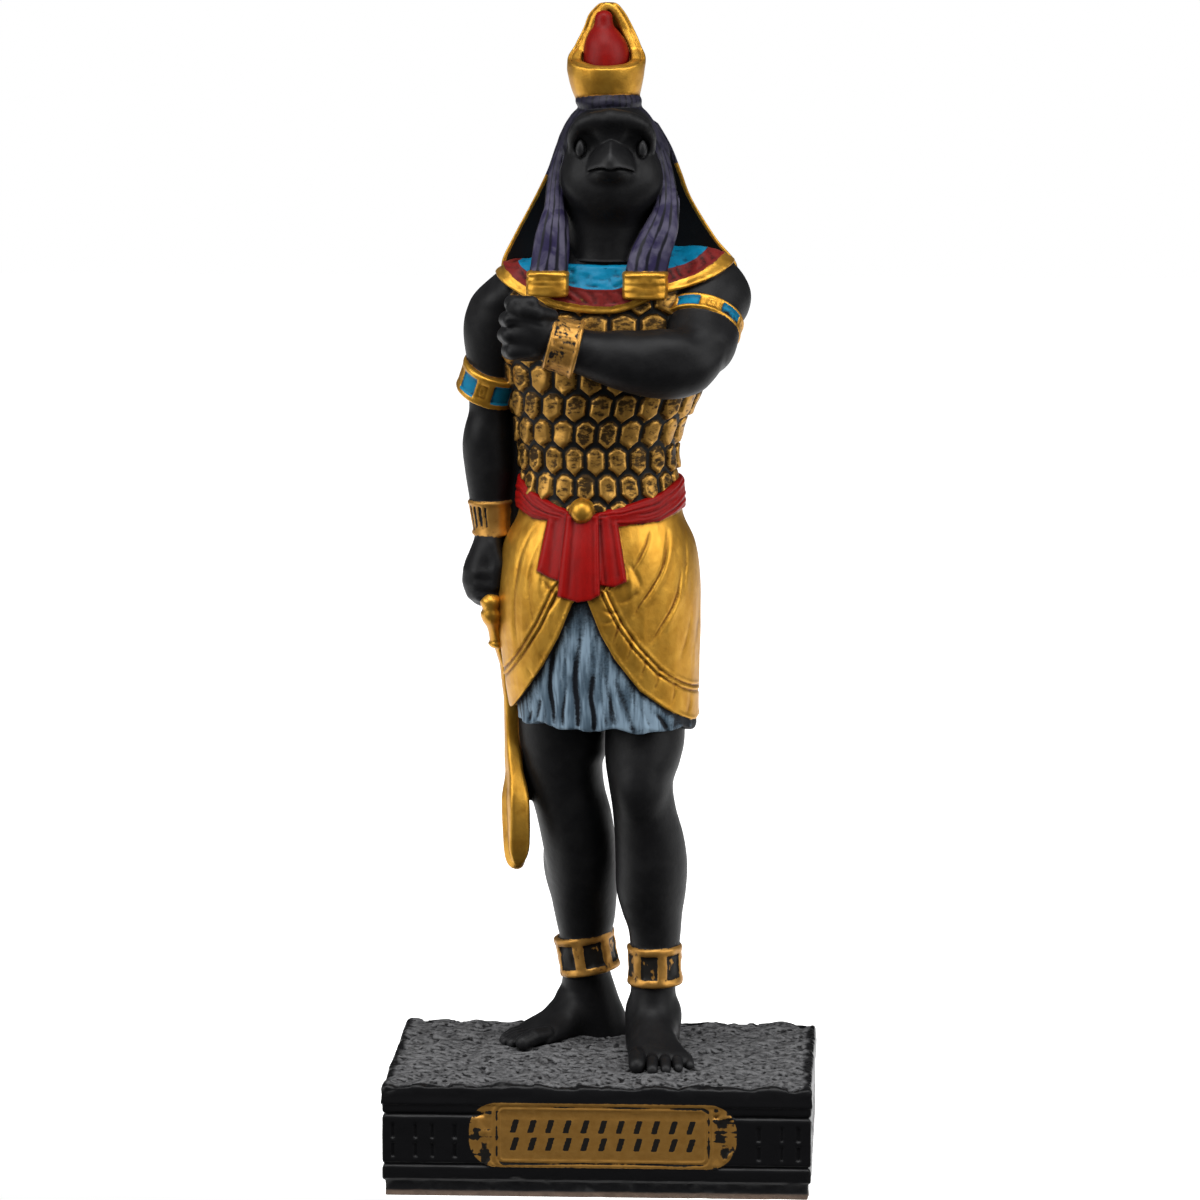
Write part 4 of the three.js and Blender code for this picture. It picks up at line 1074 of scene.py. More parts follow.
def crown():
    shell = Loft([
        (4, 9, 900, 24, 25), (3.4, 9, 908, 28.4, 28.6), (2.2, 9, 922, 33, 32.6), (1.8, 9, 936, 36, 35),
        (2.4, 10, 950, 36.4, 35.5), (3.2, 13, 961, 31.2, 31.5), (3.4, 17, 977, 24, 26.5),
        (2.4, 21, 989, 18, 20.5), (2.8, 27, 998, 9.5, 12), (3.2, 29, 1000, 4.5, 7),
    ], rounding=2)
    hollow = Loft([
        (2, 8, 941, 20.5, 21), (2.1, 8, 947, 22.8, 23.5), (2.3, 8, 952, 23, 24), (2.8, 8, 961, 20.6, 24.5),
        (3.2, 8, 977, 14.2, 23.5), (3.2, 8, 988, 9, 22.5), (3.4, 8, 993, 4, 21),
    ], rounding=3)
    front = [(-60, 1020), (-60, 939), (-28, 941), (4, 948), (15, 957), (22, 975), (27, 1002), (27, 1020)]
    bulb = Loft([
        (1.5, 14, 922, 20, 20), (1.6, 15, 940, 21.5, 21), (2, 16, 951, 21.5, 21.5), (1.6, 17, 958, 20.4, 21),
        (0.8, 17, 965, 18.2, 18.6), (0, 18, 972, 14.4, 15), (-0.6, 18, 978, 9.8, 10.2),
        (-0.7, 18, 983, 8.4, 8.6), (-0.6, 18, 988, 7.8, 8), (-0.5, 18, 991, 6, 6), (-0.5, 18, 993, 3, 3),
    ], rounding=3)

    def shell_distance(x, y, z):
        d = smooth_max(shell(x, y, z), -hollow(x, y, z), 1.6)
        d = smooth_max(d, -polygon_distance(front, y, z), 2.2)
        rim = shell.side(shell.section(x, y, z)) + 3.6
        return d + 1.6 * bell(rim, 1.3) * ramp(z, 934, 938) - 0.3 * noise(x, y, z, 7, 81)

    return [Form("gold", Shape((-38, -30, 898), (44, 50, 1001), shell_distance), 0.7), Form("red", bulb, 0.7)]


# Plinth

SLAB = 18.4  # thickness of the rough slab
FOOT = 16
PLAQUE_LOW, PLAQUE_HIGH = -78.5, -14.8
PLAQUE_MIDDLE = 6
PLAQUE_HALF, PLAQUE_CORNER = 126, 27
FIELD_HALF, FIELD_CORNER = 104, 12


def ground_height(x, y):
    """Uneven ground: a few waves of unlike lengths, the same as the solid's."""
    x, y = x * SHARE * 1000, y * SHARE * 1000
    slow = np.sin(0.9 * x + 0.5 * y) * np.cos(0.8 * y - 0.4 * x)
    return (0.6 * slow + 0.4 * np.sin(2.1 * x - 1.5 * y + 1)) * 2.45


def plinth():
    def slab(x, y, z):
        edge = np.minimum(HALF_WIDTH - np.abs(x), HALF_DEPTH - np.abs(y))
        stipple = 1.5 * noise(x, y, 0, (11, 6, 1), 91) - 1.8 * ramp(noise(x, y, 0, (5.5, 4, 1), 92), 0.1, 0.5)
        top = z - ground_height(x, y) * ramp(edge, 0, 8) - stipple * ramp(edge, 0, 5) + 1.2 * ramp(edge, 6, 0)
        chips = 1.3 + 1.3 * noise(x, y, z, (26, 26, 12), 93)
        sides = -edge + np.maximum(chips, 0) * ramp(z, -22, -4)
        return smooth_max(np.maximum(sides, -SLAB - z), top, 3.5)

    def body(x, y, z):
        edge = np.minimum(HALF_WIDTH - 1 - np.abs(x), HALF_DEPTH - 1 - np.abs(y))
        height = z - GROUND
        foot = 3.6 * ramp(height, FOOT + 1.5, FOOT - 1.5) * (0.8 + 0.3 * noise(x, y, z, 14, 94))
        lines = 2.4 * (bell(z + 28, 1.7) + bell(z + 76, 1.7))
        rough = 0.4 * noise(x, y, z, 12, 95) + 0.4
        d = -edge + foot + lines + rough + band_strokes(x, y, z)
        return smooth_max(d, np.maximum(GROUND - z, z + SLAB - 2), 1.2)

    def plaque(x, y, z):
        across, whole, field = plaque_edges(x, z)
        crumbled = noise(x, 0, z, (9, 1, 9), 96) + 0.6 * noise(x, 0, z, (4, 1, 4), 97)
        rocky = ramp(field, -2, 3)
        border = bell(field + 2.4, 1.8) + bell(field + 7, 1.1)
        height = 3.0 + 1.1 * border + rocky * (2.2 * crumbled - 0.6) - plaque_strokes(across, z)
        face = np.clip(height, 0.6, 4.4) - 4.6
        d = (-HALF_DEPTH - face) - y
        outline = whole + 0.8 * crumbled * ramp(whole, -9, -3)
        return smooth_max(smooth_max(d, outline, 1.6), y + HALF_DEPTH - 12, 1)

    wide, deep = HALF_WIDTH, HALF_DEPTH
    return [
        Form("stone", Shape((-wide, -deep, -SLAB), (wide, deep, 6), slab), 1.5),
        Form("stone", Shape((-wide, -deep, GROUND), (wide, deep, -SLAB + 2), body), 1.0),
        Form("aged", Shape((-124, -deep, -82), (136, -deep + 14, -12), plaque), 0.5),
    ]


def round_plate(u, v, half_u, half_v, radius):
    """Distance to a rectangle with round corners."""
    du, dv = np.abs(u) - half_u + radius, np.abs(v) - half_v + radius
    return np.hypot(np.maximum(du, 0), np.maximum(dv, 0)) + np.minimum(np.maximum(du, dv), 0) - radius


def plaque_edges(x, z):
    """Place across the plaque, and the distances to its outline and to its field's."""
    across, up = x - PLAQUE_MIDDLE, z - (PLAQUE_LOW + PLAQUE_HIGH) / 2
    half = (PLAQUE_HIGH - PLAQUE_LOW) / 2
    whole = round_plate(across, up, PLAQUE_HALF, half, PLAQUE_CORNER)
    return across, whole, round_plate(across, up, FIELD_HALF, half, FIELD_CORNER)


DASH_ROWS = (-38, -55)  # height of the middle of each row
DASHES, DASH_PITCH = 11, 16.5
STROKE_DEPTH = 3


def plaque_strokes(across, z):
    """Two rows of short, slanted dashes, all alike, cut into the plaque's field."""
    total = np.float32(0)
    for level in DASH_ROWS:
        place = DASH_PITCH * np.clip(np.round(across / DASH_PITCH), -(DASHES // 2), DASHES // 2)
        u, v = across - place, z - level
        cut = np.maximum(np.abs(u - 0.3 * v) - 2.6, np.abs(v) - 6.2)
        total = total + STROKE_DEPTH * ramp(-cut, -0.8, 0.8)
    return total


def band_strokes(x, y, z):
    """Two rows of shallow upright strokes on the band round the plinth, none of them behind the plaque."""
    rows = ramp(z, -70, -68) * ramp(z, -36, -38) * ramp(np.abs(z + 53), 1.5, 3)
    place = np.where(np.abs(x) > HALF_WIDTH - 6, y, x)
    tally = np.cos(place * 2 * math.pi / 19) + 0.6 * np.cos(place * 2 * math.pi / 7.3 + 1)
    beside = np.where(y < 0, ramp(np.abs(x - PLAQUE_MIDDLE), PLAQUE_HALF, PLAQUE_HALF + 6), 1)
    return 2.0 * ramp(tally, 0.75, 1.2) * rows * beside


# The field and its mesh

class Form:
    """A shape with its paint, and how widely it is blended into what is there already."""

    def __init__(self, paint, shape, blend=1.0):
        self.paint, self.shape, self.blend = paint, shape, blend


class Clay:
    """The distances of some forms on a grid, and the mesh made of them."""

    def __init__(self, forms, step):
        self.step = step
        edge = 3 * step
        reach = np.array([HALF_WIDTH, HALF_DEPTH, 1000]) + edge
        floor = (-reach[0], -reach[1], GROUND - edge)
        self.low = np.maximum(np.min([form.shape.low for form in forms], axis=0) - FAR, floor)
        high = np.minimum(np.max([form.shape.high for form in forms], axis=0) + FAR, reach)
        counts = np.ceil((high - self.low) / step).astype(int) + 1
        self.axes = [(self.low[i] + step * np.arange(counts[i])).astype(np.float32) for i in range(3)]
        self.field = np.full(counts, FAR, np.float32)
        for form in forms:
            self.add(form)

    def add(self, form):
        margin = FAR + self.step
        spans = []
        for axis, low, high in zip(self.axes, form.shape.low, form.shape.high):
            spans.append(slice(*np.searchsorted(axis, (low - margin, high + margin))))
        x, y, z = (axis[span] for axis, span in zip(self.axes, spans))
        for start in range(spans[0].start, spans[0].stop, SLICES):
            part = self.field[start:min(start + SLICES, spans[0].stop), spans[1], spans[2]]
            near = x[start - spans[0].start:start - spans[0].start + len(part)]
            d = form.shape(near[:, None, None], y[None, :, None], z[None, None, :])
            part[...] = smooth_min(part, d.astype(np.float32), form.blend)

    def mesh(self):
        np.clip(self.field, -FAR, FAR, out=self.field)
        grid = openvdb.FloatGrid(FAR)
        grid.copyFromArray(self.field, tolerance=0.0)
        points, quads = grid.convertToQuads(0.0)
        return points * self.step + self.low, quads

    def sampled(self, points):
        place = np.clip((points - self.low) / self.step, 0, np.array(self.field.shape) - 1.001)
        whole = np.floor(place).astype(int)
        rest = (place - whole).astype(np.float32)
        value = 0
        for corner in np.ndindex(2, 2, 2):
            weight = np.prod([rest[:, i] if at else 1 - rest[:, i] for i, at in enumerate(corner)], axis=0)
            value = value + weight * self.field[tuple(whole[:, i] + corner[i] for i in range(3))]
        return value

    def openness(self, points, radius):
        """Above 0 on ridges and below 0 in hollows: the mean distance of the places around each point."""
        steps = [step for step in np.ndindex(3, 3, 3) if sum(step) % 2 == 0 or 1 not in step]
        steps = [np.array(step) - 1 for step in steps if step != (1, 1, 1)]
        return np.mean([self.sampled(points + radius * unit(step)) for step in steps], axis=0)


def new_mesh(name, points, faces):
    mesh = bpy.data.meshes.new(name)
    corners = faces.shape[1]
    mesh.vertices.add(len(points))
    mesh.vertices.foreach_set("co", np.ascontiguousarray(points, np.float32).ravel())
    mesh.loops.add(faces.size)
    mesh.loops.foreach_set("vertex_index", faces.astype(np.int32).ravel())
    mesh.polygons.add(len(faces))
    mesh.polygons.foreach_set("loop_start", np.arange(0, faces.size, corners, dtype=np.int32))
    mesh.update(calc_edges=True)
    return mesh


def fineness(points):
    """How much each place keeps its faces: the head, the feet and fine carving more, plain surfaces less."""
    x, y, z = points.T
    face = ramp(z, 830, 850) * ramp(z, 905, 895) * ramp(-y, 5, 25)
    plates = ramp(z, 505, 520) * ramp(z, 770, 740) * ramp(-y, -60, -20)
    plate = ramp(-y, 130, 136) * ramp(np.abs(z + 47), 36, 32)
    feet_front = ramp(z, 24, 16) * ramp(z, -4, 0) * ramp(-y, HALF_DEPTH - 2, HALF_DEPTH - 10)
    return np.clip(0.1 + 0.9 * face + 0.4 * plates + 0.9 * plate + 0.5 * feet_front, 0, 1)


def sculpt(name, forms, step, triangles):
    """The forms as clay, and their mesh thinned to about this many triangles."""
    clay = Clay(forms, step)
    points, quads = clay.mesh()
    rough = bpy.data.objects.new("rough", new_mesh("rough", points, quads))
    bpy.context.scene.collection.objects.link(rough)
    group = rough.vertex_groups.new(name="fine")
    weights = np.round(fineness(points), 1)
    for weight in np.unique(weights):
        group.add(np.flatnonzero(weights == weight).tolist(), float(weight), "REPLACE")
    thin = rough.modifiers.new("thin", "DECIMATE")
    thin.ratio = min(1.0, triangles / (2 * len(quads)))
    thin.vertex_group = "fine"
    thin.invert_vertex_group = True
    thin.vertex_group_factor = 2.0
    found = bpy.context.evaluated_depsgraph_get()
    mesh = bpy.data.meshes.new_from_object(rough.evaluated_get(found))
    bpy.data.objects.remove(rough)
    mesh.name = name
    return clay, mesh


def points_of(mesh):
    points = np.empty(len(mesh.vertices) * 3, np.float32)
    mesh.vertices.foreach_get("co", points)
    return points.reshape(-1, 3)


def paint_edges(forms, points):
    """For each paint, every point's distance to the paint's edge, positive where that paint covers it."""
    nearest = {}
    for form in forms:
        inside = np.all((points > form.shape.low - FAR) & (points < form.shape.high + FAR), axis=1)
        x, y, z = points[inside].T
        d = nearest.setdefault(form.paint, np.full(len(points), FAR, np.float32))
        d[inside] = np.minimum(d[inside], form.shape(x, y, z))
    paints = list(nearest)
    values = np.array([nearest[paint] for paint in paints])
    order = np.sort(values, axis=0)
    own = {}
    for paint, value in zip(paints, values):
        rest = np.where(value == order[0], order[1], order[0])
        own[paint] = np.clip((rest - value) / 2, -FAR, FAR)
    return own


def split_body(own, points, forms):
    """Divides the collar and the armlets among their colours."""
    x, y, z = points.T
    place = collar_place(x, z)
    brush = 0.5 * noise(x, y, z, 7, 101)
    to_turquoise = (turquoise_edge(x) - place) * COLLAR_REACH + brush
    to_maroon = (MAROON_EDGE - place) * COLLAR_REACH + brush
    own["turquoise"] = np.minimum(own["collar"], to_turquoise)
    own["maroon"] = np.minimum(own["collar"], np.minimum(to_maroon, -to_turquoise))
    own["gold"] = np.minimum(own["collar"], -to_maroon)
    panels = np.full(len(points), -FAR, np.float32)
    armlets = [form for form in forms if form.paint == "armlet"]
    for form, turn in zip(armlets, (ARMLET_TURN, RAISED_ARMLET_TURN)):
        p = form.shape.section(x, y, z)
        half = (form.shape.place[-1] - form.shape.place[0]) / 2
        near = np.abs(form.shape(x, y, z)) < 4
        across = panel_place(angle_of(p), ARMLET_PANELS, turn)
        around = 2 * math.pi * np.sqrt((p.a ** 2 + p.b ** 2) / 2) / ARMLET_PANELS
        to_rim = 0.66 * half - np.abs(p.s - form.shape.place.mean())
        inner = np.minimum((0.255 - np.abs(across - 0.3)) * around, to_rim)
        panels = np.where(near, np.maximum(panels, inner), panels)
    own["turquoise"] = np.maximum(own["turquoise"], np.minimum(own["armlet"], panels))
    own["gold"] = np.maximum(own["gold"], np.minimum(own["armlet"], -panels))
    turn, mean = plate_turn(torso_loft.section(x, y, z))
    own["aged"] = np.maximum(own["aged"], own["cuff"])
    cuff = next(form.shape for form in forms if form.paint == "cuff")
    p = cuff.section(x, y, z)
    gaps = cuff_gaps(angle_of(p), (p.s + CUFF_MIDDLE) / CUFF_HALF)
    bare = np.where(own["cuff"] > -1, 1.3 * gaps - 0.35, 0.08)
    return {"bare": bare, "plate_cos": np.cos(turn), "plate_sin": np.sin(turn), "plate_mean": mean}


RIM_WIDTH = 3.4


def split_head(own, points, forms):
    """Gives the cape its gold rim and its black inner side, and numbers the locks of hair."""
    x, y, z = points.T
    cloth = Loft(CAPE)
    p = cloth.section(x, y, z)
    d = cloth.side(p)
    edge = RIM_WIDTH - p.a + np.abs(p.u)
    rim = np.minimum(edge, np.minimum(d + 5, 2.5 - d))
    rim = np.minimum(rim, 837 + 12 * (x > 0) - z)
    hem = np.minimum(CAPE_LOW + 10.5 - z, np.minimum(d + 3, 3 - d))
    own["gold"] = np.maximum(own["gold"], np.minimum(own["purple"], np.maximum(rim, hem)))
    inside = np.minimum(np.minimum(-d - 3.5, 858 - z), np.abs(x - 7) - 50)
    nearest, lock = np.abs(d), CAPE_LOCKS * (np.sin(angle_of(p)) + 1) / 2
    q = CAP.section(x, y, z)
    choices = [(np.abs(CAP.side(q)), CAP_STRANDS * (np.sin(angle_of(q) / 2) + 1) / 2)]
    for lappet in LAPPETS:
        q = lappet.section(x, y, z)
        far = np.where((q.s < lappet.place[0]) | (q.s > lappet.place[-1]), FAR, 0)
        reach = np.abs(lappet.side(q)) + far
        inside = np.minimum(inside, reach - 2.5)
        choices.append((reach, LAPPET_STRANDS * (lappet_place(q) + 1) / 2))
    own["shade"] = np.minimum(own["purple"], inside)
    for reach, value in choices:
        lock = np.where(reach < nearest, value, lock)
        nearest = np.minimum(nearest, reach)
    return {"lock": lock}


def split_legs(own, points, forms):
    """Marks the anklets' openings, which stayed black."""
    x, y, z = points.T
    bare = np.zeros(len(points), np.float32)
    anklets = [form.shape for form in forms if form.paint == "aged"]
    for shape, turn in zip(anklets, ANKLET_TURNS):
        p = shape.section(x, y, z)
        half = (shape.place[-1] - shape.place[0]) / 2
        near = np.abs(shape(x, y, z)) < 3.5
        bare = np.where(near, anklet_holes(angle_of(p), (p.s - shape.place.mean()) / half, turn), bare)
    return {"bare": bare * (0.6 + 0.9 * noise(x, y, z, 8, 103))}


def split_kilt(own, points, forms):
    """Marks where the skirt's blue-grey fades into black: at its left, its top and its hem."""
    x, y, z = points.T
    sides = np.maximum(ramp(x, 52, 82) * 0.8, ramp(z, 415, 450) * 0.1)
    return {"bare": sides + 0.6 * ramp(z, 324, 314) * ramp(x, -20, 10)}


def split_plinth(own, points, forms):
    """Marks the plaque's outline, what lost its gold there, and the slab's dark rim."""
    x, y, z = points.T
    across, whole, field = plaque_edges(x, z)
    own["aged"] = np.where(y < 7 - HALF_DEPTH, np.clip(-whole - 1, -FAR, FAR), -FAR)
    worn = 0.6 + 0.8 * noise(x, 0, z, (30, 1, 5), 98)
    lines = 2.6 * worn * bell(field + 4.8, 1.0)
    dragged = 0.9 * ramp(noise(x, 0, z, (26, 1, 2.2), 99), 0.2, 0.7) * ramp(field, -14, -6)
    rocky = ramp(field, -2, 3) * (0.8 + 1.1 * noise(x, 0, z, (7, 1, 7), 100))
    bare = plaque_strokes(across, z) / STROKE_DEPTH * 3 - 1.0 + rocky + lines + dragged
    rim = np.minimum(HALF_WIDTH - np.abs(x), HALF_DEPTH - np.abs(y)) - 7 + 3 * noise(x, y, 0, (18, 9, 1), 104)
    return {"bare": bare, "rim": np.where(z > -8, rim, -FAR)}


def add_attribute(mesh, name, values):
    attribute = mesh.attributes.new(name, "FLOAT", "POINT")
    attribute.data.foreach_set("value", np.ascontiguousarray(values, np.float32))


INSET = 2e-6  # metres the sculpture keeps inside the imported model's box


def make_piece(name, forms, step, triangles, split):
    """Sculpts one piece from its forms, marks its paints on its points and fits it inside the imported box."""
    clay, mesh = sculpt(name, forms, step * VOXEL_SCALE, triangles)
    points = points_of(mesh)
    own = paint_edges(forms, points)
    extra = split(own, points, forms)
    for paint in PAINTS:
        if paint in own:
            add_attribute(mesh, paint, own[paint])
    for label, values in extra.items():
        add_attribute(mesh, label, values)
    add_attribute(mesh, "ridge", np.clip(clay.openness(points, 3.0) / 1.5, -1, 1))
    add_attribute(mesh, "swell", np.clip(clay.openness(points, 6.0) / 3, -1, 1))
    add_attribute(mesh, "level", points[:, 2])
    placed = points.astype(np.float64) * SHARE + np.array([0, 0, PLINTH_HEIGHT])
    placed = np.clip(placed, np.array(LOW) + INSET, np.array(HIGH) - INSET)
    placed[:, 2] = np.where(points[:, 2] < GROUND + 0.3, LOW.z, placed[:, 2])
    mesh.vertices.foreach_set("co", placed.astype(np.float32).ravel())
    mesh.update()
    mesh.shade_smooth()
    piece = bpy.data.objects.new(name, mesh)
    bpy.context.scene.collection.objects.link(piece)
    piece.data.materials.append(painted_resin(name, [paint for paint in PAINTS if paint in own]))
    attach(piece, "root")
    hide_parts(NODE)
    print(name, len(mesh.vertices), "points", len(mesh.polygons), "faces")


# Paint

class Nodes:
    """A short way to write a material's nodes."""

    def __init__(self, name):
        self.material = bpy.data.materials.new(name)
        self.material.use_nodes = True
        self.tree = self.material.node_tree
        self.shader = self.tree.nodes["Principled BSDF"]

    def set(self, socket, value):
        if isinstance(value, bpy.types.NodeSocket):
            self.tree.links.new(value, socket)
        elif isinstance(value, tuple) and len(value) == 3 and socket.type == "RGBA":
            socket.default_value = (*value, 1)
        else:
            socket.default_value = value

    def math(self, operation, a, b=0.0, clamp=False):
        node = self.tree.nodes.new("ShaderNodeMath")
        node.operation, node.use_clamp = operation, clamp
        self.set(node.inputs[0], a)
        self.set(node.inputs[1], b)
        return node.outputs[0]

    def plus(self, *values):
        total = values[0]
        for value in values[1:]:
            total = self.math("ADD", total, value)
        return total

    def minus(self, a, b):
        return self.math("SUBTRACT", a, b)

    def times(self, a, b):
        return self.math("MULTIPLY", a, b)

    def ramp(self, value, low, high):
        node = self.tree.nodes.new("ShaderNodeMapRange")
        node.interpolation_type = "SMOOTHSTEP"
        for socket, each in zip(node.inputs, (value, low, high, 0.0, 1.0)):
            self.set(socket, each)
        return node.outputs[0]

    def mix(self, factor, a, b):
        node = self.tree.nodes.new("ShaderNodeMix")
        colour = isinstance(a, tuple) or isinstance(b, tuple) or getattr(a, "type", "") == "RGBA"
        node.data_type = "RGBA" if colour else "FLOAT"
        self.set(node.inputs[0], factor)
        pair = (node.inputs[6], node.inputs[7]) if colour else (node.inputs[2], node.inputs[3])
        self.set(pair[0], a)
        self.set(pair[1], b)
        return node.outputs[2] if colour else node.outputs[0]

    def attribute(self, name):
        node = self.tree.nodes.new("ShaderNodeAttribute")
        node.attribute_name = name
        return node.outputs["Fac"]

    def place(self, scale=(1, 1, 1)):
        coordinates = self.tree.nodes.new("ShaderNodeTexCoord").outputs["Object"]
        node = self.tree.nodes.new("ShaderNodeMapping")
        self.set(node.inputs["Vector"], coordinates)
        node.inputs["Scale"].default_value = scale
        return node.outputs[0]

    def noise(self, size, detail=2.0, stretch=(1, 1, 1), roughness=0.5, distortion=0.0):
        """Noise whose features are about this many shares long."""
        node = self.tree.nodes.new("ShaderNodeTexNoise")
        self.set(node.inputs["Vector"], self.place(stretch))
        node.inputs["Scale"].default_value = 1 / (size * SHARE)
        node.inputs["Detail"].default_value = detail
        node.inputs["Roughness"].default_value = roughness
        node.inputs["Distortion"].default_value = distortion
        return node.outputs[0]

    def dice(self, a, b):
        """A random number for each pair of whole numbers."""
        pair = self.tree.nodes.new("ShaderNodeCombineXYZ")
        self.set(pair.inputs[0], a)
        self.set(pair.inputs[1], b)
        node = self.tree.nodes.new("ShaderNodeTexWhiteNoise")
        self.set(node.inputs["Vector"], pair.outputs[0])
        return node.outputs["Value"]

    def bump(self, height, strength, distance, normal=None):
        node = self.tree.nodes.new("ShaderNodeBump")
        node.inputs["Strength"].default_value = strength
        node.inputs["Distance"].default_value = distance
        self.set(node.inputs["Height"], height)
        if normal is not None:
            self.set(node.inputs["Normal"], normal)
        return node.outputs[0]


SHEEN = 0.14
BLACK = (0.0045, 0.0045, 0.005)
BLACK_WORN = (0.0075, 0.0075, 0.008)
# Lighter grey on the ridges of the black: partly rubbed wear, partly a painted highlight.
RIDGE_WEAR_AND_HIGHLIGHT = (0.022, 0.022, 0.023)
GOLD = (0.52, 0.275, 0.038)
GOLD_DULL = (0.42, 0.205, 0.024)
GOLD_DEEP = (0.16, 0.065, 0.010)
AGED = (0.46, 0.25, 0.065)
AGED_DULL = (0.30, 0.14, 0.025)
ARMOUR_BRIGHT = (0.47, 0.25, 0.055)
ARMOUR_DULL = (0.31, 0.165, 0.034)
UNDER_GOLD = (0.008, 0.007, 0.006)
ARMOUR_GAP = (0.006, 0.006, 0.006)
ARMOUR_BARE = (0.022, 0.014, 0.007)
ARMOUR_BROWNS = ((0.045, 0.024, 0.007), (0.11, 0.058, 0.015))
RED = (0.27, 0.001, 0.0005)
RED_DULL = (0.20, 0.003, 0.002)
# A darker red for the bulb: painted shade inside the crown.
BULB_RED_PAINTED_SHADE = (0.12, 0.001, 0.0005)
RED_DEEP = (0.08, 0.001, 0.001)
TURQUOISE = (0.001, 0.17, 0.30)
TURQUOISE_DULL = (0.001, 0.12, 0.23)
TURQUOISE_DEEP = (0.002, 0.05, 0.10)
MAROON = (0.14, 0.010, 0.008)
MAROON_DULL = (0.13, 0.012, 0.012)
MAROON_DEEP = (0.025, 0.004, 0.004)
PURPLE = (0.016, 0.012, 0.042)
PURPLE_GREY = (0.068, 0.062, 0.098)
PURPLE_GROOVE = (0.006, 0.006, 0.010)
SLATE = (0.20, 0.28, 0.355)
SLATE_DEEP = (0.06, 0.095, 0.13)
SLATE_GROOVE = (0.008, 0.010, 0.014)
STONE = (0.115, 0.115, 0.118)
RAW = (0.11, 0.075, 0.055)
RAW_DARK = (0.03, 0.02, 0.015)

PAINTS = ("stone", "purple", "shade", "slate", "red", "turquoise", "maroon", "gold", "armour", "aged")


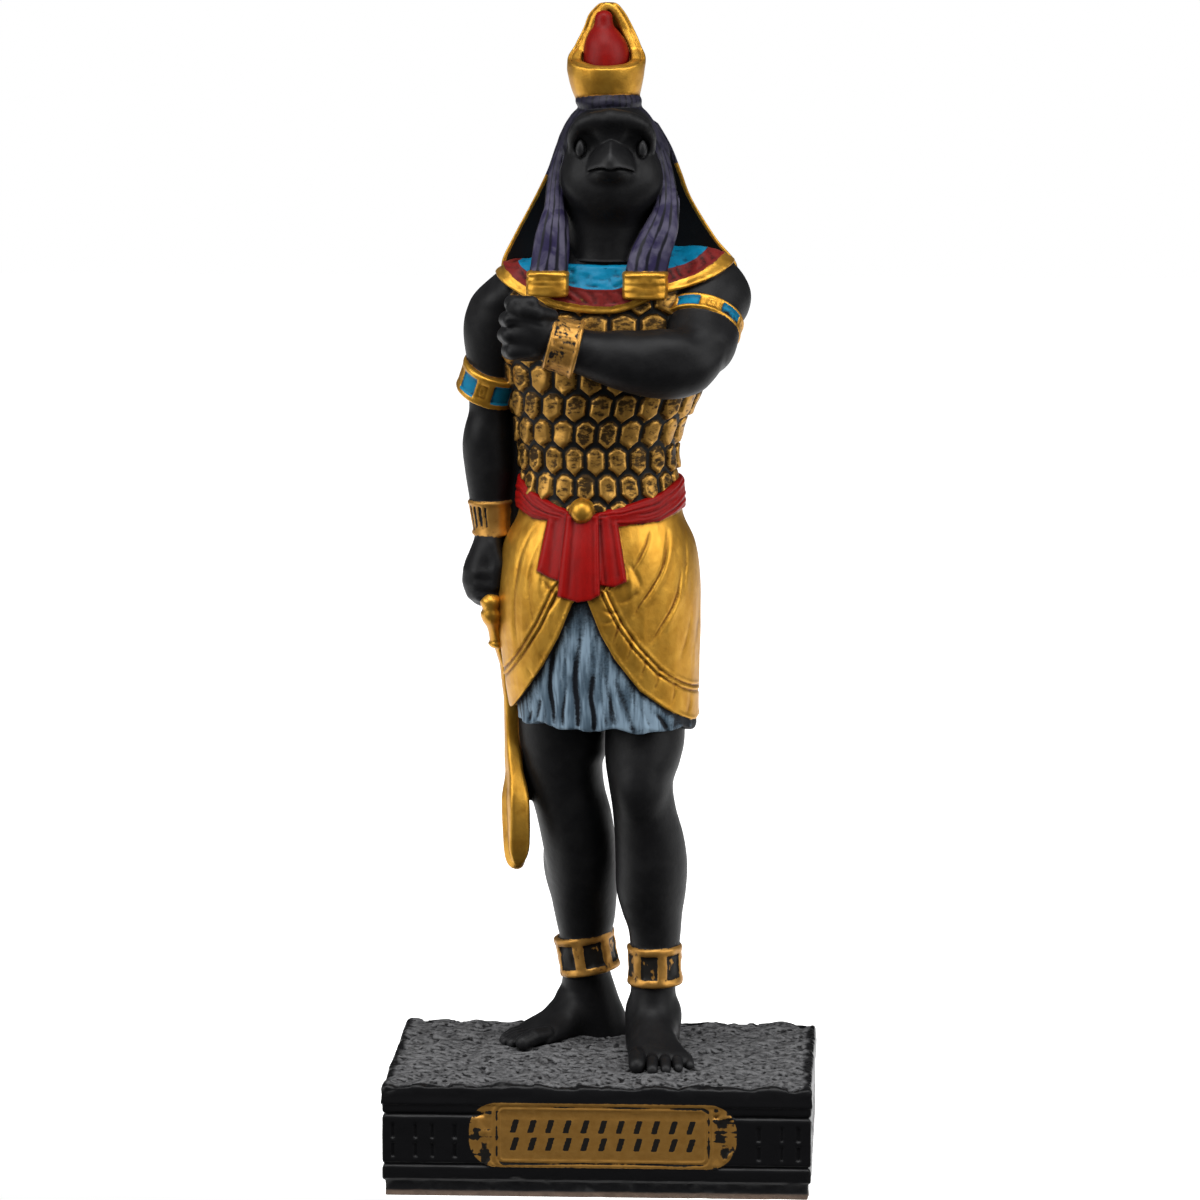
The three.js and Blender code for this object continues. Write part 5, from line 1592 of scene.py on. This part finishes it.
class Coats:
    """Coats of paint, one over the other, on black resin."""

    def __init__(self, name):
        n = self.n = Nodes(name)
        self.ridge, self.swell = n.attribute("ridge"), n.attribute("swell")
        self.brush = n.noise(7, 3, roughness=0.6)
        self.fine = n.noise(2.2, 2)
        self.patches = n.noise(16, 3, distortion=0.6)
        self.streaks = n.noise(6, 2, stretch=(1, 1, 0.16))
        self.edge_noise = self.centred(self.brush, 1.6)
        self.colour = n.mix(n.ramp(self.patches, 0.35, 0.75), BLACK, BLACK_WORN)
        # Ridges of the black turn lighter: partly rubbed wear, partly a painted highlight.
        self.colour = n.mix(n.ramp(self.ridge, 0.1, 0.6), self.colour, RIDGE_WEAR_AND_HIGHLIGHT)
        self.metal = 0.0
        self.rough = n.mix(self.brush, 0.42, 0.54)

    def centred(self, value, amount):
        return self.n.times(self.n.minus(value, 0.5), amount)

    def edge(self, name, soft=0.3):
        return self.n.ramp(self.n.plus(self.n.attribute(name), self.edge_noise), -soft, soft)

    def coat(self, mask, tint, roughness, metallic=0.0):
        self.colour = self.n.mix(mask, self.colour, tint)
        self.rough = self.n.mix(mask, self.rough, roughness)
        self.metal = self.n.mix(mask, self.metal, metallic)

    def stone(self):
        """Rough ground, and a raw, unpainted edge at the very bottom."""
        n = self.n
        stone = self.edge("stone")
        grain = n.noise(5, 4, roughness=0.7)
        above = n.ramp(n.plus(n.attribute("rim"), self.edge_noise), -1, 4)
        dusty = n.times(above, n.ramp(n.plus(self.ridge, self.centred(grain, 2.2)), -0.55, 0.45))
        self.coat(stone, n.mix(dusty, BLACK, STONE), n.mix(dusty, 0.34, 0.6))
        low = n.ramp(n.plus(n.attribute("level"), self.edge_noise), GROUND + 6.5, GROUND + 4)
        self.coat(n.times(stone, low), n.mix(self.brush, RAW_DARK, RAW), 0.7)
        return n.times(grain, above)

    def purple(self):
        """Violet on the locks, black between them, and all of it darker towards the crown."""
        n = self.n
        between = n.math("PINGPONG", n.attribute("lock"), 0.5)
        lit = n.ramp(n.plus(self.centred(self.streaks, 0.5), n.times(self.ridge, 0.3), between), 0.05, 0.26)
        violet = n.mix(n.ramp(self.patches, 0.35, 0.65), PURPLE, PURPLE_GREY)
        low = n.mix(n.ramp(n.attribute("level"), 875, 805), 0.25, 1.0)
        self.coat(self.edge("purple"), n.mix(n.times(lit, low), PURPLE_GROOVE, violet), n.mix(lit, 0.4, 0.5))

    def shade(self):
        """Black inside the cape."""
        self.coat(self.edge("shade", 1.0), BLACK, 0.45)

    def slate(self):
        """Blue-grey dragged over black: it misses the hollows between the pleats."""
        n = self.n
        raised = n.plus(self.ridge, n.times(self.swell, 0.5), self.centred(self.streaks, 0.9),
                        self.centred(self.fine, 0.7), n.times(n.attribute("bare"), -1.0))
        blue = n.mix(n.ramp(self.streaks, 0.35, 0.7), SLATE_DEEP, SLATE)
        self.coat(self.edge("slate"), n.mix(n.ramp(raised, -0.6, 0.2), SLATE_GROOVE, blue), 0.6)

    def enamel(self, paint, uneven, reach, deep, dull, bright, roughness):
        """A colour that changes with the brush, and is deeper in the hollows."""
        n = self.n
        open_part = n.ramp(n.plus(self.ridge, uneven), *reach)
        self.coat(self.edge(paint), n.mix(open_part, deep, n.mix(self.brush, dull, bright)), roughness)

    def red(self):
        n = self.n
        # Above level 900 the red is darker: painted shade on the bulb inside the crown.
        bright = n.mix(n.ramp(n.attribute("level"), 900, 920), RED, BULB_RED_PAINTED_SHADE)
        self.enamel("red", self.centred(self.streaks, 0.7), (-0.6, 0.2), RED_DEEP, RED_DULL, bright,
                    n.mix(self.brush, 0.42, 0.55))

    def turquoise(self):
        self.enamel("turquoise", self.centred(self.fine, 0.5), (-0.6, 0.0), TURQUOISE_DEEP, TURQUOISE_DULL,
                    TURQUOISE, 0.42)

    def maroon(self):
        self.enamel("maroon", self.centred(self.fine, 0.6), (-0.5, 0.15), MAROON_DEEP, MAROON_DULL,
                    MAROON, 0.48)

    def gold(self):
        n = self.n
        raised = n.plus(self.ridge, n.times(self.swell, 0.5), self.centred(self.brush, 0.6))
        bright = n.mix(n.ramp(self.patches, 0.3, 0.7), GOLD_DULL, GOLD)
        gold = n.mix(n.ramp(raised, -0.7, 0.05), GOLD_DEEP, bright)
        self.coat(self.edge("gold"), gold, n.mix(self.brush, 0.36, 0.48), 0.85)

    def aged(self):
        """Gold rubbed over black: it misses the hollows, the scratches and what is marked bare."""
        n = self.n
        scratches = n.noise(3.2, 3, stretch=(1, 1, 0.6))
        catch = n.plus(self.ridge, self.centred(self.patches, -1.5), self.centred(scratches, 1.7),
                       n.times(n.attribute("bare"), -1.2))
        mask = self.edge("aged")
        self.coat(mask, UNDER_GOLD, 0.5)
        caught = n.times(mask, n.ramp(catch, -0.42, -0.05))
        self.coat(caught, n.mix(self.brush, AGED_DULL, AGED), 0.45, 0.75)

    def armour(self):
        """Six-sided plates, with the same places as the carved ones, drawn sharply."""
        n = self.n
        turn = n.math("ARCTAN2", n.attribute("plate_sin"), n.attribute("plate_cos"))
        around = n.times(turn, PLATES_AROUND / (2 * math.pi))
        half = n.times(n.attribute("plate_mean"), math.pi / PLATES_AROUND)
        slant = n.math("SQRT", n.plus(n.times(half, half), PLATE_POINT ** 2))
        tip = (PLATE_PITCH + PLATE_POINT) / 2
        level = n.attribute("level")
        lowest = n.math("FLOOR", n.math("DIVIDE", n.minus(level, PLATE_FIRST_ROW), PLATE_PITCH))
        found = []
        for step in (0, 1):
            row = n.plus(lowest, step)
            shift = n.times(n.math("FLOORED_MODULO", n.plus(row, 1), 2), 0.5)
            place = n.minus(around, shift)
            column = n.math("ROUND", place)
            across = n.times(n.math("ABSOLUTE", n.minus(place, column)), n.times(half, 2))
            up = n.minus(level, n.plus(n.times(row, PLATE_PITCH), PLATE_FIRST_ROW))
            above = n.minus(n.math("ABSOLUTE", up), tip)
            slope = n.plus(n.times(across, PLATE_POINT), n.times(above, half))
            edge = n.math("MAXIMUM", n.math("DIVIDE", slope, slant), n.minus(across, half))
            edge = n.math("MAXIMUM", edge, n.minus(up, tip - PLATE_CUT))
            found.append((edge, row, column, up))
        second = n.math("LESS_THAN", found[1][0], found[0][0])
        edge, row, column, up = (n.mix(second, a, b) for a, b in zip(*found))
        lot = n.dice(row, n.math("FLOORED_MODULO", column, PLATES_AROUND))
        inside = n.ramp(n.plus(edge, PLATE_GAP / 2), 0.5, -0.5)
        scrub = n.noise(5.5, 4, stretch=(0.7, 0.7, 1.3), roughness=0.65)
        # Less gold is caught towards each plate's top: painted shadow under the plate above, beside the random
        # rubbing.
        catch = n.plus(self.centred(scrub, 2.4), self.centred(lot, 0.5), n.times(up, -0.016),
                       n.times(self.ridge, 0.9))
        mask = self.edge("armour")
        self.coat(mask, ARMOUR_GAP, 0.5)
        plate = n.times(mask, inside)
        self.coat(plate, n.mix(self.brush, n.mix(lot, *ARMOUR_BROWNS), ARMOUR_BARE), 0.5, 0.6)
        caught = n.times(plate, n.ramp(catch, -0.25, 0.28))
        self.coat(caught, n.mix(self.brush, ARMOUR_DULL, ARMOUR_BRIGHT), 0.42, 0.75)


def painted_resin(name, paints):
    coats = Coats(name + "_paint")
    n = coats.n
    grit = None
    for paint in paints:
        made = getattr(coats, paint)()
        grit = made if paint == "stone" else grit
    n.set(n.shader.inputs["Base Color"], coats.colour)
    n.set(n.shader.inputs["Roughness"], coats.rough)
    n.set(n.shader.inputs["Metallic"], coats.metal)
    n.shader.inputs["Specular IOR Level"].default_value = SHEEN
    pores = n.bump(n.noise(1.4, 2, roughness=0.6), 0.2, 0.3 * SHARE)
    surface = n.bump(coats.brush, 0.3, 0.9 * SHARE, pores)
    if grit is not None:
        surface = n.bump(grit, 0.8, 2.5 * SHARE, surface)
    n.set(n.shader.inputs["Normal"], surface)
    return n.material


# Name, forms, voxel in shares, triangles and how its paints are divided
make_piece("plinth_and_plaque", plinth(), 1.2, 150000, split_plinth)
make_piece("legs_and_sword", legs() + sword(), 1.0, 120000, split_legs)
make_piece("kilt_and_sash", kilt(), 1.0, 160000, split_kilt)
make_piece("arms_and_armour", [
    Form("armour", Loft(TORSO[:9], relief=plates, rounding=1), 1),
    Form("skin", Loft(TORSO[8:], rounding=3), 1),
    *hanging_arm(), *raised_arm(), *collar(),
], 1.0, 180000, split_body)
make_piece("head_and_crown", head() + headcloth() + crown(), 0.95, 185000, split_head)


# Floor, lights and camera

MM = 0.001
STUDIO_LEVEL = 0.10


def add_floor():
    bpy.ops.mesh.primitive_plane_add(size=0.7, location=(0, 0.338, 0))
    floor = bpy.context.object
    floor.name = "floor"
    n = Nodes("pale_floor")
    n.shader.inputs["Base Color"].default_value = (0.9, 0.9, 0.9, 1)
    n.shader.inputs["Roughness"].default_value = 0.7
    n.shader.inputs["Emission Color"].default_value = (1, 1, 1, 1)
    n.shader.inputs["Emission Strength"].default_value = 0.85
    floor.data.materials.append(n.material)


def add_light(name, place, target, size, power):
    data = bpy.data.lights.new(name, "AREA")
    data.shape = "RECTANGLE"
    data.size, data.size_y = size
    data.energy = power
    lamp = bpy.data.objects.new(name, data)
    bpy.context.scene.collection.objects.link(lamp)
    lamp.location = place
    lamp.rotation_euler = (Vector(target) - Vector(place)).to_track_quat("-Z", "Y").to_euler()


def add_camera():
    """The photograph's view: a long lens from slightly above, and a little from the figure's left."""
    aim = Vector((-0.272, 0, 44.48)) * MM
    distance = 466.24 * MM
    elevation, azimuth = math.radians(8.823), math.radians(2.83)
    level = math.cos(elevation)
    back = Vector((math.sin(azimuth) * level, -math.cos(azimuth) * level, math.sin(elevation)))
    data = bpy.data.cameras.new("camera")
    data.sensor_width = 36
    data.lens = 181.44
    data.clip_start, data.clip_end = 0.01, 20
    camera = bpy.data.objects.new("camera", data)
    bpy.context.scene.collection.objects.link(camera)
    camera.location = aim + back * distance
    camera.rotation_euler = back.to_track_quat("Z", "Y").to_euler()
    bpy.context.scene.camera = camera


def add_world():
    """A white studio: what the lens sees is white, and the light from it is dimmer."""
    world = bpy.data.worlds.new("studio")
    world.use_nodes = True
    tree = world.node_tree
    background = tree.nodes["Background"]
    background.inputs["Color"].default_value = (1, 1, 1, 1)
    rays = tree.nodes.new("ShaderNodeLightPath")
    level = tree.nodes.new("ShaderNodeMapRange")
    level.inputs["To Min"].default_value = STUDIO_LEVEL
    tree.links.new(rays.outputs["Is Camera Ray"], level.inputs["Value"])
    tree.links.new(level.outputs[0], background.inputs["Strength"])
    bpy.context.scene.world = world


add_floor()
add_world()
figure_middle = (0, 0, 0.05)
add_light("left softbox", (-0.39, -0.21, 0.24), figure_middle, (0.38, 0.36), 1.85)
add_light("right softbox", (0.39, -0.20, 0.24), figure_middle, (0.38, 0.36), 1.85)
add_light("top softbox", (0, -0.20, 0.47), figure_middle, (0.40, 0.30), 2.5)
add_camera()
bpy.context.scene.view_settings.view_transform = "Standard"
